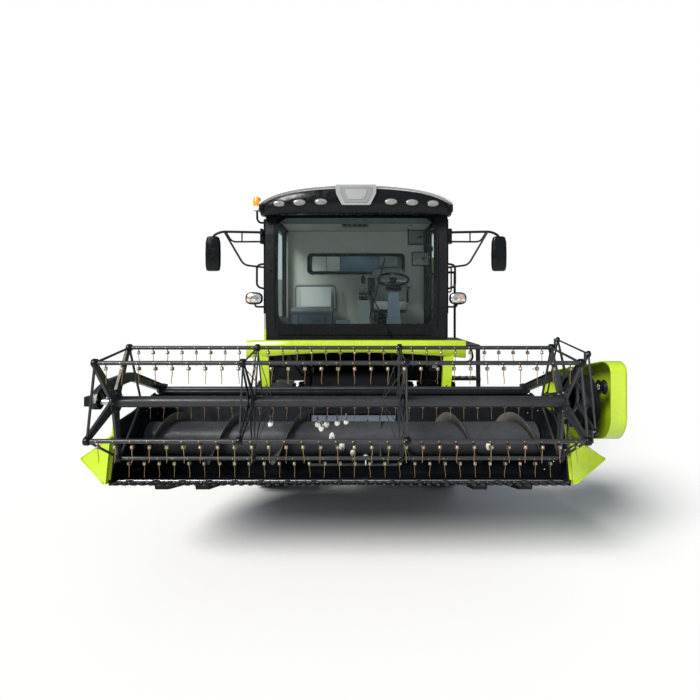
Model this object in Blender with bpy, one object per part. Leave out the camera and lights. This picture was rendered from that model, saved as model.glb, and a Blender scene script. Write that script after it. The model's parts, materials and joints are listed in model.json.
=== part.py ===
"""Self-propelled combine harvester with a raised grain header, in metres.

+Z is up, the front (the header) faces -Y and the machine's left side is +X.
Ground is z = 0, the machine's centreline is x = 0.
The auger is joined with the MANIFOLD solver, because EXACT loses its drum.
"""

import math

import bmesh
import bpy
from mathutils import Matrix, Vector

# Driving dimensions.
HALF_WIDTH = 2.43
REAR_END = 4.0
ROOF_TOP = 3.87

FRONT_AXLE = (-0.857, 0.715)
FRONT_TYRE = {"radius": 0.715, "width": 0.50, "rim": 0.355, "x": 1.11}
REAR_AXLE = (2.15, 0.475)
REAR_TYRE = {"radius": 0.475, "width": 0.34, "rim": 0.225, "x": 0.97}
KINGPIN_X = 0.72
STEER_ARM = 0.21

# The header hinges with the feeder about this line and is carried raised, nose up.
FEEDER_PIVOT = (-0.50, 1.60)
KNIFE = (-3.44, 0.93)
HEADER_TILT = math.radians(13.5)
HEADER_X = -0.14
HEADER_HALF = 1.975
AUGER = (0.68, 0.35)
AUGER_DRUM = 0.165
AUGER_FLIGHT = 0.26
# Behind and above the knife: the header's top beam and the reel arms' pivot.
BEAM = (1.0, 0.83)
REEL_PIVOT = (1.10, 0.87)

REEL_CENTRE = (-3.517, 1.64)
REEL_RADIUS = 0.5
REEL_HALF = 1.92
ARM_X = 2.05
BAR_RADIUS = 0.0175
FIRST_BAR = math.radians(-24.8)
BARS = 5
TINES = 29
TINE_LENGTH = 0.165
ECCENTRIC = 0.07
SPIDERS = (-1.89, -0.74, 0.53, 1.89)

LIFT_BASE = (-0.95, 0.50)
LIFT_EYE = (-1.86, 0.82)
LIFT_X = 0.38

CAB_REAR = -0.33
CAB_HALF = 1.07
CAB_FLOOR = 2.0
SIDE_X = 1.38
# Half of the clearance that pieces which touch keep between them.
GAP = 0.0006

# name: base colour, metallic, roughness
PAINTS = {
    "lime_paint": ((0.55, 0.78, 0.03), 0.0, 0.35),
    "dark_paint": ((0.045, 0.047, 0.055), 0.0, 0.5),
    "grey_paint": ((0.35, 0.37, 0.40), 0.0, 0.5),
    "white_paint": ((0.78, 0.78, 0.76), 0.0, 0.4),
    "bright_steel": ((0.60, 0.60, 0.60), 1.0, 0.3),
    "iron": ((0.16, 0.16, 0.17), 0.6, 0.6),
    "tyre_rubber": ((0.02, 0.02, 0.02), 0.0, 0.8),
    "seat_fabric": ((0.30, 0.30, 0.31), 0.0, 0.9),
    "dark_plastic": ((0.03, 0.03, 0.03), 0.0, 0.5),
    "tinted_glass": ((0.10, 0.13, 0.13), 0.0, 0.05),
}

for old in list(bpy.data.objects):
    bpy.data.objects.remove(old)

MACHINE = bpy.data.collections.new("combine_harvester")
SHAPES = bpy.data.collections.new("cutters")
bpy.context.scene.collection.children.link(MACHINE)
bpy.context.scene.collection.children.link(SHAPES)


def paint(name):
    """The material of one finish, made once."""
    if name in bpy.data.materials:
        return bpy.data.materials[name]
    colour, metallic, roughness = PAINTS[name]
    material = bpy.data.materials.new(name)
    material.use_nodes = True
    shader = material.node_tree.nodes["Principled BSDF"]
    shader.inputs["Base Color"].default_value = (*colour, 1.0)
    shader.inputs["Metallic"].default_value = metallic
    shader.inputs["Roughness"].default_value = roughness
    return material


def shape(mesh, smooth=False):
    """A mesh as a helper object, ready to be joined, cut with or made a node."""
    piece = bpy.data.objects.new("shape", mesh)
    for face in mesh.polygons:
        face.use_smooth = smooth
    piece.hide_render = True
    piece.display_type = "WIRE"
    SHAPES.objects.link(piece)
    return piece


def from_bmesh(work, smooth=False):
    mesh = bpy.data.meshes.new("shape")
    bmesh.ops.recalc_face_normals(work, faces=work.faces)
    if work.calc_volume(signed=True) < 0:
        bmesh.ops.reverse_faces(work, faces=work.faces)
    work.to_mesh(mesh)
    work.free()
    return shape(mesh, smooth)


def box(low, high):
    """An axis-aligned block between two corners."""
    work = bmesh.new()
    bmesh.ops.create_cube(work, size=1.0)
    middle = [(a + b) / 2 for a, b in zip(low, high)]
    size = [abs(b - a) for a, b in zip(low, high)]
    place = Matrix.Translation(middle) @ Matrix.Diagonal((*size, 1.0))
    bmesh.ops.transform(work, matrix=place, verts=work.verts)
    return from_bmesh(work)


def rod(start, end, radius, sides=20, end_radius=None):
    """A round bar, or a cone, from one point to another."""
    start, end = Vector(start), Vector(end)
    along = end - start
    work = bmesh.new()
    bmesh.ops.create_cone(
        work,
        cap_ends=True,
        segments=sides,
        radius1=radius,
        radius2=radius if end_radius is None else end_radius,
        depth=along.length,
    )
    turn = Vector((0, 0, 1)).rotation_difference(along).to_matrix().to_4x4()
    place = Matrix.Translation((start + end) / 2) @ turn
    bmesh.ops.transform(work, matrix=place, verts=work.verts)
    return from_bmesh(work, smooth=True)


def from_curve(curve, place=None, smooth=False):
    """A curve turned into a closed mesh object."""
    carrier = bpy.data.objects.new("curve", curve)
    SHAPES.objects.link(carrier)
    mesh = bpy.data.meshes.new_from_object(carrier.evaluated_get(
        bpy.context.evaluated_depsgraph_get()))
    bpy.data.objects.remove(carrier)
    work = bmesh.new()
    work.from_mesh(mesh)
    bmesh.ops.remove_doubles(work, verts=work.verts, dist=1e-5)
    if place is not None:
        bmesh.ops.transform(work, matrix=place, verts=work.verts)
    return from_bmesh(work, smooth)


def outline(curve, points, closed=True):
    spline = curve.splines.new("POLY")
    spline.points.add(len(points) - 1)
    for target, point in zip(spline.points, points):
        padded = tuple(point) + (0.0,) * (3 - len(point))
        target.co = (*padded, 1.0)
    spline.use_cyclic_u = closed


# Where a flat outline's two coordinates go, by the axis it is extruded along.
PLANES = {
    "x": Matrix(((0, 0, 1, 0), (1, 0, 0, 0), (0, 1, 0, 0), (0, 0, 0, 1))),
    "y": Matrix(((1, 0, 0, 0), (0, 0, -1, 0), (0, 1, 0, 0), (0, 0, 0, 1))),
    "z": Matrix.Identity(4),
}


def prism(points, axis, low, high, holes=()):
    """A flat outline extruded along an axis: (y, z) for x, (x, z) for y, (x, y) for z."""
    curve = bpy.data.curves.new("outline", "CURVE")
    curve.dimensions = "2D"
    curve.fill_mode = "BOTH"
    curve.extrude = (high - low) / 2
    outline(curve, points)
    for hole in holes:
        outline(curve, hole)
    middle = (low + high) / 2
    if axis == "y":
        middle = -middle
    return from_curve(curve, PLANES[axis] @ Matrix.Translation((0, 0, middle)))


def tube(points, radius):
    """A round tube along straight runs."""
    curve = bpy.data.curves.new("run", "CURVE")
    curve.dimensions = "3D"
    curve.bevel_depth = radius
    curve.bevel_resolution = 2
    curve.use_fill_caps = True
    outline(curve, points, closed=False)
    return from_curve(curve, smooth=True)


def runs(points, radius, sides=10):
    """Straight round bars that follow one another, each running a little past its corners."""
    bars = []
    for start, end in zip(points, points[1:]):
        start, end = Vector(start), Vector(end)
        past = (end - start).normalized() * radius * 0.9
        bars.append(rod(start - past, end + past, radius, sides))
    return bars


def hull(points):
    """The convex solid around a few points."""
    work = bmesh.new()
    for point in points:
        work.verts.new(point)
    bmesh.ops.convex_hull(work, input=work.verts)
    loose = [v for v in work.verts if not v.link_faces]
    bmesh.ops.delete(work, geom=loose, context="VERTS")
    return from_bmesh(work)


def circle(centre, radius, sides=16, start=0.0):
    turns = [start + 2 * math.pi * i / sides for i in range(sides)]
    return [
        (centre[0] + radius * math.cos(t), centre[1] + radius * math.sin(t)) for t in turns
    ]


def spun(profile, x, y, z, steps=32):
    """A closed (radius, offset along X) profile turned once about a line along X."""
    work = bmesh.new()
    ring = [work.verts.new((0.0, radius, offset)) for radius, offset in profile]
    for a, b in zip(ring, ring[1:] + ring[:1]):
        work.edges.new((a, b))
    bmesh.ops.spin(
        work,
        geom=work.verts[:] + work.edges[:],
        axis=(0, 0, 1),
        cent=(0, 0, 0),
        angle=2 * math.pi,
        steps=steps,
    )
    bmesh.ops.remove_doubles(work, verts=work.verts, dist=1e-5)
    place = Matrix.Translation((x, y, z)) @ PLANES["x"]
    bmesh.ops.transform(work, matrix=place, verts=work.verts)
    return from_bmesh(work, smooth=True)


def node(name, base, material, joined=(), cut=(), origin=None, solver="EXACT"):
    """One named piece: a base shape with others joined on, then others cut away."""
    base.name = name
    base.data.name = name
    SHAPES.objects.unlink(base)
    MACHINE.objects.link(base)
    base.hide_render = False
    base.display_type = "SOLID"
    for operation, operands in (("UNION", joined), ("DIFFERENCE", cut)):
        for operand in operands:
            step = base.modifiers.new(operation.lower(), "BOOLEAN")
            step.operation = operation
            step.solver = solver
            step.object = operand
    if origin is not None:
        base.data.transform(Matrix.Translation(-Vector(origin)))
        base.location = origin
    base.data.materials.append(paint(material))
    return base


def header_point(back, up, x=0.0):
    """A point of the tilted header from its distance behind and above the knife."""
    c, s = math.cos(HEADER_TILT), math.sin(HEADER_TILT)
    return (x, KNIFE[0] + back * c + up * s, KNIFE[1] - back * s + up * c)


def header_outline(points):
    return [header_point(back, up)[1:] for back, up in points]


# ---------------------------------------------------------------- chassis

def build_chassis():
    plate = [(-1.08, 0.62), (-0.55, 0.52), (0.20, 0.86), (0.20, 1.93), (-0.95, 1.93), (-1.08, 1.2)]
    left = prism(plate, "x", 0.62, 0.70)
    right = prism(plate, "x", -0.70, -0.62)
    y, z = FRONT_AXLE
    beam = box((-0.66, y - 0.10, z - 0.11), (0.66, y + 0.10, z + 0.11))
    drives = [rod((s * 0.66, y, z), (s * 0.84, y, z), 0.17, 24) for s in (-1, 1)]
    rails = [box((s * 0.62, 0.1, 0.86), (s * 0.70, 1.40, 1.0)) for s in (-1, 1)]
    cross = box((-0.66, 1.28, 0.88), (0.66, 1.40, 0.98))
    lugs = [
        box((s * LIFT_X + t - 0.012, LIFT_BASE[0] - 0.05, LIFT_BASE[1] - 0.05),
            (s * LIFT_X + t + 0.012, LIFT_BASE[0] + 0.12, 0.64))
        for s in (-1, 1) for t in (-0.070, 0.070)
    ]
    node("chassis_frame", left, "dark_paint", [beam, right, *drives, *rails, cross, *lugs])


def build_threshing_body():
    outer = box((-0.66, -0.12, 1.0 + GAP), (0.66, 2.90, 2.08))
    trims = [
        box((0.60, -0.20, 0.9), (0.8, 0.22, 2.2)),
        box((-0.8, -0.20, 0.9), (-0.60, 0.22, 2.2)),
    ]
    inner = box((-0.58, -0.3, 1.05), (0.58, 3.0, 2.04))
    node("threshing_body", outer, "grey_paint", cut=[inner, *trims])


def build_straw_hood():
    side = [(2.9 + GAP, 1.0), (3.65, 1.0), (REAR_END, 1.15), (REAR_END, 1.55), (3.82, 2.10),
            (3.55, 2.34), (2.9 + GAP, 2.34)]
    space = [(2.8, 0.9), (3.63, 0.9), (3.63, 1.02), (3.97, 1.17), (3.97, 1.54), (3.80, 2.08),
             (3.54, 2.31), (2.8, 2.31)]
    hood = prism(side, "x", -0.74, 0.74)
    inside = prism(space, "x", -0.71, 0.71)
    node("straw_hood", hood, "lime_paint", cut=[inside])


def build_rear_axle():
    y, z = REAR_AXLE
    beam = box((-0.53, y - 0.07, z - 0.02), (0.53, y + 0.07, z + 0.12))
    pivot = prism([(-0.30, z + 0.10), (0.30, z + 0.10), (0.22, 1.0), (-0.22, 1.0)], "y",
                  y - 0.16, y + 0.16)
    ends = []
    for s in (-1, 1):
        low = box((s * 0.50, y - 0.06, z - 0.13), (s * (KINGPIN_X + 0.06), y + 0.06, z - 0.095))
        high = box((s * 0.50, y - 0.06, z + 0.095), (s * (KINGPIN_X + 0.06), y + 0.06, z + 0.13))
        back = box((s * 0.49, y - 0.055, z - 0.13), (s * 0.56, y + 0.055, z + 0.13))
        ends += [back, low, high]
    node("rear_axle", beam, "dark_paint", [pivot, *ends])


def build_tank_and_hood():
    lower = box((-SIDE_X, -0.28, 2.10), (SIDE_X, 1.75, 2.85))
    upper = box((-0.95, -0.20, 2.80), (0.95, 1.70, 3.40))
    inner_low = box((-SIDE_X + 0.03, -0.25, 2.16), (SIDE_X - 0.03, 1.72, 2.82))
    inner_high = box((-0.92, -0.17, 2.7), (0.92, 1.67, 3.6))
    turret = rod((1.17, 0.0, 2.83), (1.17, 0.0, 2.92), 0.15, 24)
    node("grain_tank", lower, "grey_paint", [upper, turret], [inner_low, inner_high])
    shell = box((-SIDE_X, 1.75 + GAP, 2.10), (SIDE_X, 3.10, 2.85))
    bay = box((-SIDE_X + 0.03, 1.79, 2.13), (SIDE_X - 0.03, 3.07, 2.82))
    screen = box((SIDE_X - 0.1, 1.95, 2.25), (SIDE_X + 0.1, 2.90, 2.75))
    foot = box((-0.74, 2.85, 2.0), (0.74, 3.3, 2.345))
    node("engine_hood", shell, "lime_paint", cut=[bay, screen, foot])
    block = box((-0.55, 2.0, 2.14), (0.75, 2.80, 2.74))
    node("engine_block", block, "iron")


def build_side_panels():
    for s, side in ((1, "left"), (-1, "right")):
        skin = box((s * (SIDE_X - 0.03), -0.28, 1.52), (s * SIDE_X, 0.14, 2.10 - GAP))
        wall = box((s * (0.70 + GAP), -0.10, 1.30), (s * (SIDE_X - 0.01), -0.07, 2.10 - GAP))
        node(f"wheel_arch_{side}", skin, "lime_paint", [wall])
        hinge = (s * SIDE_X, 0.15, 2.092)
        door = box((s * (SIDE_X - 0.03), 0.15, 1.05), (s * SIDE_X, 2.88, 2.092))
        node(f"side_door_{side}", door, "lime_paint", origin=hinge)


def build_unloader():
    pivot = (1.17, 0.0, 2.92 + GAP)
    elbow = rod(pivot, (1.17, 0.0, 3.06), 0.135, 24)
    pipe = rod((1.17, -0.10, 3.06), (1.17, 3.35, 3.06), 0.135, 24)
    spout = hull([
        (1.17 + a * 0.12, 3.28 + b * 0.05, 3.08) for a in (-1, 1) for b in (-1, 1)] + [
        (1.17 + a * 0.12, 3.42 + b * 0.10, 2.86) for a in (-1, 1) for b in (-1, 1)])
    node("unload_auger", pipe, "lime_paint", [elbow, spout], origin=pivot)


# ---------------------------------------------------------------- cab

CAB_SIDE = [(-1.80, CAB_FLOOR), (-1.87, 2.45), (-1.90, 2.85), (-1.87, 3.30), (-1.80, 3.61),
            (CAB_REAR, 3.61), (CAB_REAR, CAB_FLOOR)]
CAB_SPACE = [(-1.74, 2.05), (-1.81, 2.45), (-1.84, 2.85), (-1.81, 3.30), (-1.75, 3.57),
             (-0.38, 3.57), (-0.38, 2.05)]
WINDSHIELD = [(-1.802, 2.10), (-1.862, 2.45), (-1.892, 2.85), (-1.862, 3.30), (-1.815, 3.51),
              (-1.803, 3.51), (-1.850, 3.30), (-1.880, 2.85), (-1.850, 2.45), (-1.790, 2.10)]


def build_cab():
    outer = prism(CAB_SIDE, "x", -CAB_HALF, CAB_HALF)
    inner = prism(CAB_SPACE, "x", -CAB_HALF + 0.05, CAB_HALF - 0.05)
    front = box((-0.93, -2.2, 2.09), (0.93, -1.70, 3.52))
    rear = box((-0.70, -0.5, 2.93), (0.70, -0.2, 3.21))
    door_way = box((0.9, -1.70, 2.10), (1.3, -0.48, 3.50))
    side = box((-1.3, -1.66, 2.30), (-0.9, -0.55, 3.46))
    node("cab_shell", outer, "dark_paint", cut=[inner, front, rear, door_way, side])
    glass = prism(WINDSHIELD, "x", -0.93 + GAP, 0.93 - GAP)
    node("windshield", glass, "tinted_glass")
    pane = box((-CAB_HALF + 0.012, -1.66 + GAP, 2.30 + GAP), (-CAB_HALF + 0.022, -0.55 - GAP, 3.46 - GAP))
    node("side_window", pane, "tinted_glass")
    back = box((-0.70 + GAP, -0.36, 2.93 + GAP), (0.70 - GAP, -0.35, 3.21 - GAP))
    node("rear_window", back, "tinted_glass")


def build_cab_door():
    hinge = (CAB_HALF + 0.034, -0.44, 2.10)
    frame = box((CAB_HALF + 0.006, -1.745, 2.055), (CAB_HALF + 0.034, -0.44, 3.545))
    hole = box((CAB_HALF - 0.1, -1.68, 2.12), (CAB_HALF + 0.1, -0.51, 3.48))
    node("cab_door", frame, "dark_paint", cut=[hole], origin=hinge)
    pane = box((CAB_HALF + 0.015, -1.68 + GAP, 2.12 + GAP), (CAB_HALF + 0.025, -0.51 - GAP, 3.48 - GAP))
    node("door_glass", pane, "tinted_glass", origin=hinge)


def build_cab_roof():
    # Half-width, height, front and rear of the crowned roof's levels.
    levels = ((1.125, 3.61 + GAP, -1.98, -0.27), (1.125, 3.66, -2.0, -0.27), (1.06, 3.745, -2.04, -0.28),
              (0.80, 3.81, -2.06, -0.30), (0.45, 3.855, -2.05, -0.33), (0.15, ROOF_TOP, -2.0, -0.4),
              (0.80, 3.61 + GAP, -2.10, -0.27))
    roof = hull([(s * x, y, z) for s in (-1, 1) for x, z, front, rear in levels for y in (front, rear)])
    visor = prism([(-1.10, -1.93), (-1.10, -2.0), (-0.80, -2.10), (0.80, -2.10), (1.10, -2.0),
                   (1.10, -1.93)], "z", 3.50, 3.63)
    node("cab_roof", roof, "white_paint", [visor])


def build_cab_base():
    base = box((-1.05, -1.80, 1.93 + GAP), (1.05, CAB_REAR, CAB_FLOOR - GAP))
    node("cab_base", base, "dark_paint")


def build_front_band():
    face = [(-1.30, -1.78), (-1.22, -1.88), (-0.9, -1.95), (0.9, -1.95), (1.22, -1.88),
            (1.30, -1.78), (1.30, -1.74), (1.20, -1.82), (0.88, -1.90), (-0.88, -1.90),
            (-1.20, -1.82), (-1.30, -1.74)]
    band = prism(face, "z", 1.83, 2.05)
    foot = box((-1.0, -1.92, 1.90), (1.0, -1.80 - GAP, 1.96))
    legs = [hull([(s * x, y, z) for x, z in ((1.13, 1.86), (1.02, 1.86), (1.10, 1.45), (0.98, 1.45))
                  for y in (-1.90, -1.80)]) for s in (-1, 1)]
    node("front_band", band, "lime_paint", [foot, *legs])


def build_cab_interior():
    x = 0.47
    cushion = box((x - 0.25, -1.00, 2.38), (x + 0.25, -0.52, 2.52))
    pedestal = box((x - 0.17, -0.90, 2.05 + GAP), (x + 0.17, -0.58, 2.40))
    back = hull([(x + s * 0.23, y, z) for s in (-1, 1) for y, z in (
        (-0.62, 2.45), (-0.50, 2.45), (-0.52, 3.02), (-0.42, 3.02))])
    node("driver_seat", cushion, "seat_fabric", [pedestal, back])
    column = hull([(x + s * 0.07, y, z) for s in (-1, 1) for y, z in (
        (-1.66, 2.05 + GAP), (-1.50, 2.05 + GAP), (-1.42, 2.72), (-1.50, 2.72))])
    hub = rod((x, -1.47, 2.70), (x, -1.43, 2.78), 0.05, 16)
    ring = [spun([(0.185, -0.014), (0.215, -0.014), (0.215, 0.014), (0.185, 0.014)], 0, 0, 0, 24)]
    spokes = box((-0.19, -0.02, -0.01), (0.19, 0.02, 0.01))
    wheel_place = Matrix.Translation((x, -1.43, 2.78)) @ Matrix.Rotation(math.radians(25), 4, "X")
    ring[0].matrix_world = wheel_place @ Matrix.Rotation(math.radians(90), 4, "Y")
    spokes.matrix_world = wheel_place
    node("steering_column", column, "dark_plastic", [hub, spokes, *ring])
    console = box((0.02, -1.10, 2.05 + GAP), (0.19, -0.60, 2.62))
    node("side_console", console, "grey_paint")
    bench = box((-0.92, -1.00, 2.05 + GAP), (-0.28, -0.50, 2.45))
    rest = box((-0.92, -0.56, 2.40), (-0.28, -0.50, 2.75))
    node("passenger_bench", bench, "grey_paint", [rest])


def build_platform():
    deck = box((CAB_HALF + 0.03, -1.735, 1.94), (1.50, -0.30, 1.98))
    brackets = [box((1.05 + GAP, y, 1.935), (1.45, y + 0.05, 1.955)) for y in (-1.55, -0.75)]
    ladder = [
        hull([(x + a, y + b, z) for a in (-0.02, 0.02) for b in (-0.03, 0.03)
              for y, z in ((-1.70, 1.97), (-1.76, 0.55))]) for x in (1.14, 1.48)]
    steps = [box((1.13, y - 0.08, z), (1.49, y + 0.08, z + 0.03)) for y, z in (
        (-1.76, 0.60), (-1.75, 0.92), (-1.735, 1.24), (-1.72, 1.56))]
    rail = runs([(1.47, -0.34, 1.96), (1.47, -0.34, 2.95), (1.20, -0.34, 2.95), (1.20, -0.34, 1.96)], 0.018)
    node("platform", deck, "dark_paint", [*brackets, *ladder, *steps, *rail])


# ---------------------------------------------------------------- mirrors and lamps

def build_mirrors():
    for s, side in ((1, "left"), (-1, "right")):
        plate = box((s * (CAB_HALF + GAP), -1.80, 2.35), (s * (CAB_HALF + 0.035), -1.752, 3.50))
        arms = tube([(s * 1.08, -1.78, 3.34), (s * 1.66, -1.82, 3.33), (s * 1.70, -1.82, 3.22)], 0.014)
        lower = tube([(s * 1.08, -1.78, 3.21), (s * 1.50, -1.81, 3.20), (s * 1.52, -1.81, 3.345)], 0.011)
        brace = tube([(s * 1.54, -1.81, 3.34), (s * 1.35, -1.80, 2.93), (s * 1.08, -1.78, 2.90)], 0.012)
        glass = box((s * 1.60, -1.86, 2.86), (s * 1.78, -1.78, 3.28))
        rail = tube([(s * 1.08, -1.78, 2.93), (s * 1.19, -1.78, 2.92), (s * 1.19, -1.78, 2.40),
                     (s * 1.08, -1.78, 2.37)], 0.014)
        lamp = box((s * 1.10, -1.90, 2.46), (s * 1.31, -1.76, 2.62))
        node(f"mirror_{side}", plate, "dark_plastic", [arms, lower, brace, glass, rail, lamp])
    stalk = runs([(-1.09, -1.70, 3.46), (-1.18, -1.70, 3.46), (-1.20, -1.70, 3.62)], 0.012)
    lens = rod((-1.20, -1.70, 3.61), (-1.20, -1.70, 3.78), 0.05, 20)
    foot = box((-1.10, -1.73, 3.42), (-CAB_HALF - GAP, -1.67, 3.50))
    node("beacon", foot, "dark_plastic", [*stalk, lens])


# ---------------------------------------------------------------- header and feeder

def build_header():
    left, right = HEADER_X - HEADER_HALF, HEADER_X + HEADER_HALF
    trough = [(0.0, -0.02), (0.85, -0.02), (1.0, 0.10), (1.02, 0.20), (1.02, 0.83),
              (1.0, 0.83), (1.0, 0.22), (0.97, 0.13), (0.83, 0.0), (0.06, 0.0), (0.0, -0.005)]
    pan = prism(header_outline(trough), "x", left - 0.01, right + 0.01)
    beam_y, beam_z = header_point(*BEAM)[1:]
    beam = rod((left - 0.035, beam_y, beam_z), (right + 0.035, beam_y, beam_z), 0.034)
    low = prism(header_outline([(0.80, -0.09), (0.90, -0.09), (0.90, -0.01), (0.80, -0.01)]),
                "x", left, right)
    cheek = [(0.02, -0.03), (0.86, -0.03), (1.05, 0.10), (1.05, 0.80), (0.80, 0.80),
             (0.34, 0.60), (0.02, 0.50)]
    walls = [prism(header_outline(cheek), "x", x - 0.012, x + 0.012) for x in (left - 0.012, right + 0.012)]
    mouth = prism(header_outline([(0.90, 0.06), (1.2, 0.06), (1.2, 0.60), (0.90, 0.60)]), "x", -0.50, 0.44)
    sole = header_outline([(0.10, -0.015), (0.14, -0.075), (0.50, -0.085), (0.85, -0.075), (0.85, -0.015)])
    skids = [prism(sole, "x", x - 0.06, x + 0.06) for x in (-1.72, -1.36, 1.10, 1.5)]
    ear = header_outline([(0.97, 0.80), (1.16, 0.80), (1.16, 0.93), (1.04, 0.93), (0.97, 0.86)])
    ear_bore = [header_outline(circle(REEL_PIVOT, 0.036))]
    ears = [prism(ear, "x", x - 0.012, x + 0.012, ear_bore) for x in (left - 0.03, right + 0.03)]
    stay = [rod((right, *header_point(b, u)[1:]), (HALF_WIDTH - 0.031, *header_point(b, u)[1:]), r, 16)
            for b, u, r in ((0.90, 0.60, 0.035), (0.60, 0.50, 0.04))]
    node("header_trough", pan, "dark_paint", [beam, low, *walls, *skids, *ears, *stay], [mouth])

    bar = prism(header_outline([(-0.05, -0.012), (-0.001, -0.02), (-0.001, 0.004), (-0.05, 0.004)]),
                "x", left + 0.01, right - 0.01)
    node("cutter_bar", bar, "bright_steel")

    for s, side, wall in ((1, "left", right + 0.024), (-1, "right", left - 0.024)):
        tip = HALF_WIDTH if s < 0 else 2.12
        inner = abs(wall) + GAP
        node(f"divider_{side}", hull([
            (s * tip, -3.34, 1.12),
            (s * inner, -3.36, 0.90), (s * inner, -3.36, 1.37), (s * inner, -3.10, 1.34),
            (s * inner, -3.10, 0.84), (s * (inner + 0.12), -3.70, 1.02), (s * (inner + 0.05), -3.70, 1.05),
            (s * (inner + 0.16), -3.40, 0.93), (s * (inner + 0.12), -3.10, 0.88),
            (s * (tip - 0.05), -3.12, 1.10),
        ]), "lime_paint")

    cover = [(-3.30, 1.42), (-3.30, 1.82), (-3.24, 1.92), (-3.12, 1.96), (-2.10, 1.72), (-1.98, 1.66),
             (-1.94, 1.55), (-1.95, 1.15), (-2.05, 1.02), (-2.20, 0.98), (-3.14, 1.22), (-3.26, 1.30)]
    space = [(-3.27, 1.43), (-3.27, 1.81), (-3.22, 1.89), (-3.11, 1.93), (-2.11, 1.69), (-2.0, 1.64),
             (-1.97, 1.54), (-1.98, 1.16), (-2.07, 1.05), (-2.20, 1.01), (-3.13, 1.25), (-3.24, 1.32)]
    guard = prism(cover, "x", 2.17, HALF_WIDTH)
    hollow = prism(space, "x", 2.1, HALF_WIDTH - 0.03)
    node("belt_cover", guard, "lime_paint", cut=[hollow])

    feeder = [header_point(1.021, 0.08)[1:], (-0.70, 1.262), (-0.50, 1.27), (-0.27, 1.37), (-0.17, 1.60),
              (-0.28, 1.80), (-0.50, 1.88), (-0.62, 1.87), header_point(1.021, 0.70)[1:]]
    channel = [(-2.7, 0.75), (-2.3, 0.85), (-0.70, 1.30), (-0.30, 1.40), (0.0, 1.45), (0.0, 1.76),
               (-0.30, 1.77), (-0.60, 1.83), (-2.2, 1.34), (-2.7, 1.20)]
    case = prism(feeder, "x", -0.53, 0.47)
    bore = prism(channel, "x", -0.50, 0.44)
    shafts = [rod((-0.53 + 0.02, *FEEDER_PIVOT), (-0.615, *FEEDER_PIVOT), 0.05),
              rod((0.45, *FEEDER_PIVOT), (0.615, *FEEDER_PIVOT), 0.05)]
    brackets = []
    for s in (-1, 1):
        for t in (-0.055, 0.055):
            x = s * LIFT_X + t
            brackets.append(prism([(-2.10, 0.90), (LIFT_EYE[0] - 0.05, LIFT_EYE[1] - 0.05),
                                   (LIFT_EYE[0] + 0.05, LIFT_EYE[1] - 0.05), (-1.60, 1.02)], "x",
                                  x - 0.01, x + 0.01))
    node("feeder_house", case, "dark_paint", [*shafts, *brackets], [bore],
         origin=(0, *FEEDER_PIVOT))


def build_lift_cylinders():
    base, eye = Vector((0, *LIFT_BASE)), Vector((0, *LIFT_EYE))
    along = (eye - base).normalized()
    for s, side in ((1, "left"), (-1, "right")):
        x = Vector((s * LIFT_X, 0, 0))
        start = base + x
        barrel = rod(start + along * 0.02, start + along * 0.50, 0.05)
        lug = rod(start - Vector((0.045, 0, 0)), start + Vector((0.045, 0, 0)), 0.045)
        bore = rod(start + along * 0.07, start + along * 0.60, 0.0285)
        node(f"lift_barrel_{side}", barrel, "dark_paint", [lug], [bore], origin=start)
        end = eye + x
        stem = rod(start + along * 0.42, end, 0.027)
        ring = rod(end - Vector((0.035, 0, 0)), end + Vector((0.035, 0, 0)), 0.04)
        node(f"lift_rod_{side}", stem, "bright_steel", [ring], origin=end)


def build_auger():
    centre = header_point(*AUGER)
    left, right = HEADER_X - HEADER_HALF + 0.03, HEADER_X + HEADER_HALF - 0.03
    drum = rod((left, *centre[1:]), (right, *centre[1:]), AUGER_DRUM, 32)
    flights = []
    for start, finish, hand in ((left + 0.02, -0.55, 1), (0.50, right - 0.02, -1)):
        flights.append(flight(start, finish, hand, centre))
    node("header_auger", drum, "grey_paint", flights, origin=(HEADER_X, *centre[1:]), solver="MANIFOLD")


def flight(start, finish, hand, centre, pitch=0.56, sides=16):
    """A helical flight along X, as a swept closed strip."""
    turns = (finish - start) / pitch
    count = int(turns * sides)
    work = bmesh.new()
    rings = []
    for i in range(count + 1):
        angle = 0.07 + hand * 2 * math.pi * i / sides
        x = start + pitch * i / sides
        ring = []
        for r, dx in ((AUGER_DRUM - 0.03, -0.004), (AUGER_FLIGHT, -0.004), (AUGER_FLIGHT, 0.004),
                      (AUGER_DRUM - 0.03, 0.004)):
            ring.append(work.verts.new((x + dx, centre[1] + r * math.cos(angle),
                                        centre[2] + r * math.sin(angle))))
        rings.append(ring)
    for a, b in zip(rings, rings[1:]):
        for k in range(4):
            work.faces.new((a[k], a[(k + 1) % 4], b[(k + 1) % 4], b[k]))
    work.faces.new(rings[0])
    work.faces.new(rings[-1])
    bmesh.ops.triangulate(work, faces=work.faces)
    return from_bmesh(work)


# ---------------------------------------------------------------- reel

def bar_centre(index):
    turn = FIRST_BAR + 2 * math.pi * index / BARS
    return (REEL_CENTRE[0] - REEL_RADIUS * math.cos(turn), REEL_CENTRE[1] + REEL_RADIUS * math.sin(turn))


def star(centre, hub, arm, eye):
    """A five-armed outline with round ends about the tine bars."""
    points = []
    for index in range(BARS):
        turn = FIRST_BAR + 2 * math.pi * index / BARS
        out = (-math.cos(turn), math.sin(turn))
        side = (-out[1], out[0])
        reach = REEL_RADIUS

        def at(radial, across):
            return (centre[0] + out[0] * radial + side[0] * across,
                    centre[1] + out[1] * radial + side[1] * across)

        points.append(at(hub, arm))
        points.append(at(reach - eye * 0.9, arm))
        for k in range(7):
            swing = math.radians(-150 + 50 * k)
            points.append(at(reach + eye * math.cos(swing), -eye * math.sin(swing)))
        points.append(at(reach - eye * 0.9, -arm))
        points.append(at(hub, -arm))
    return points


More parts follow.
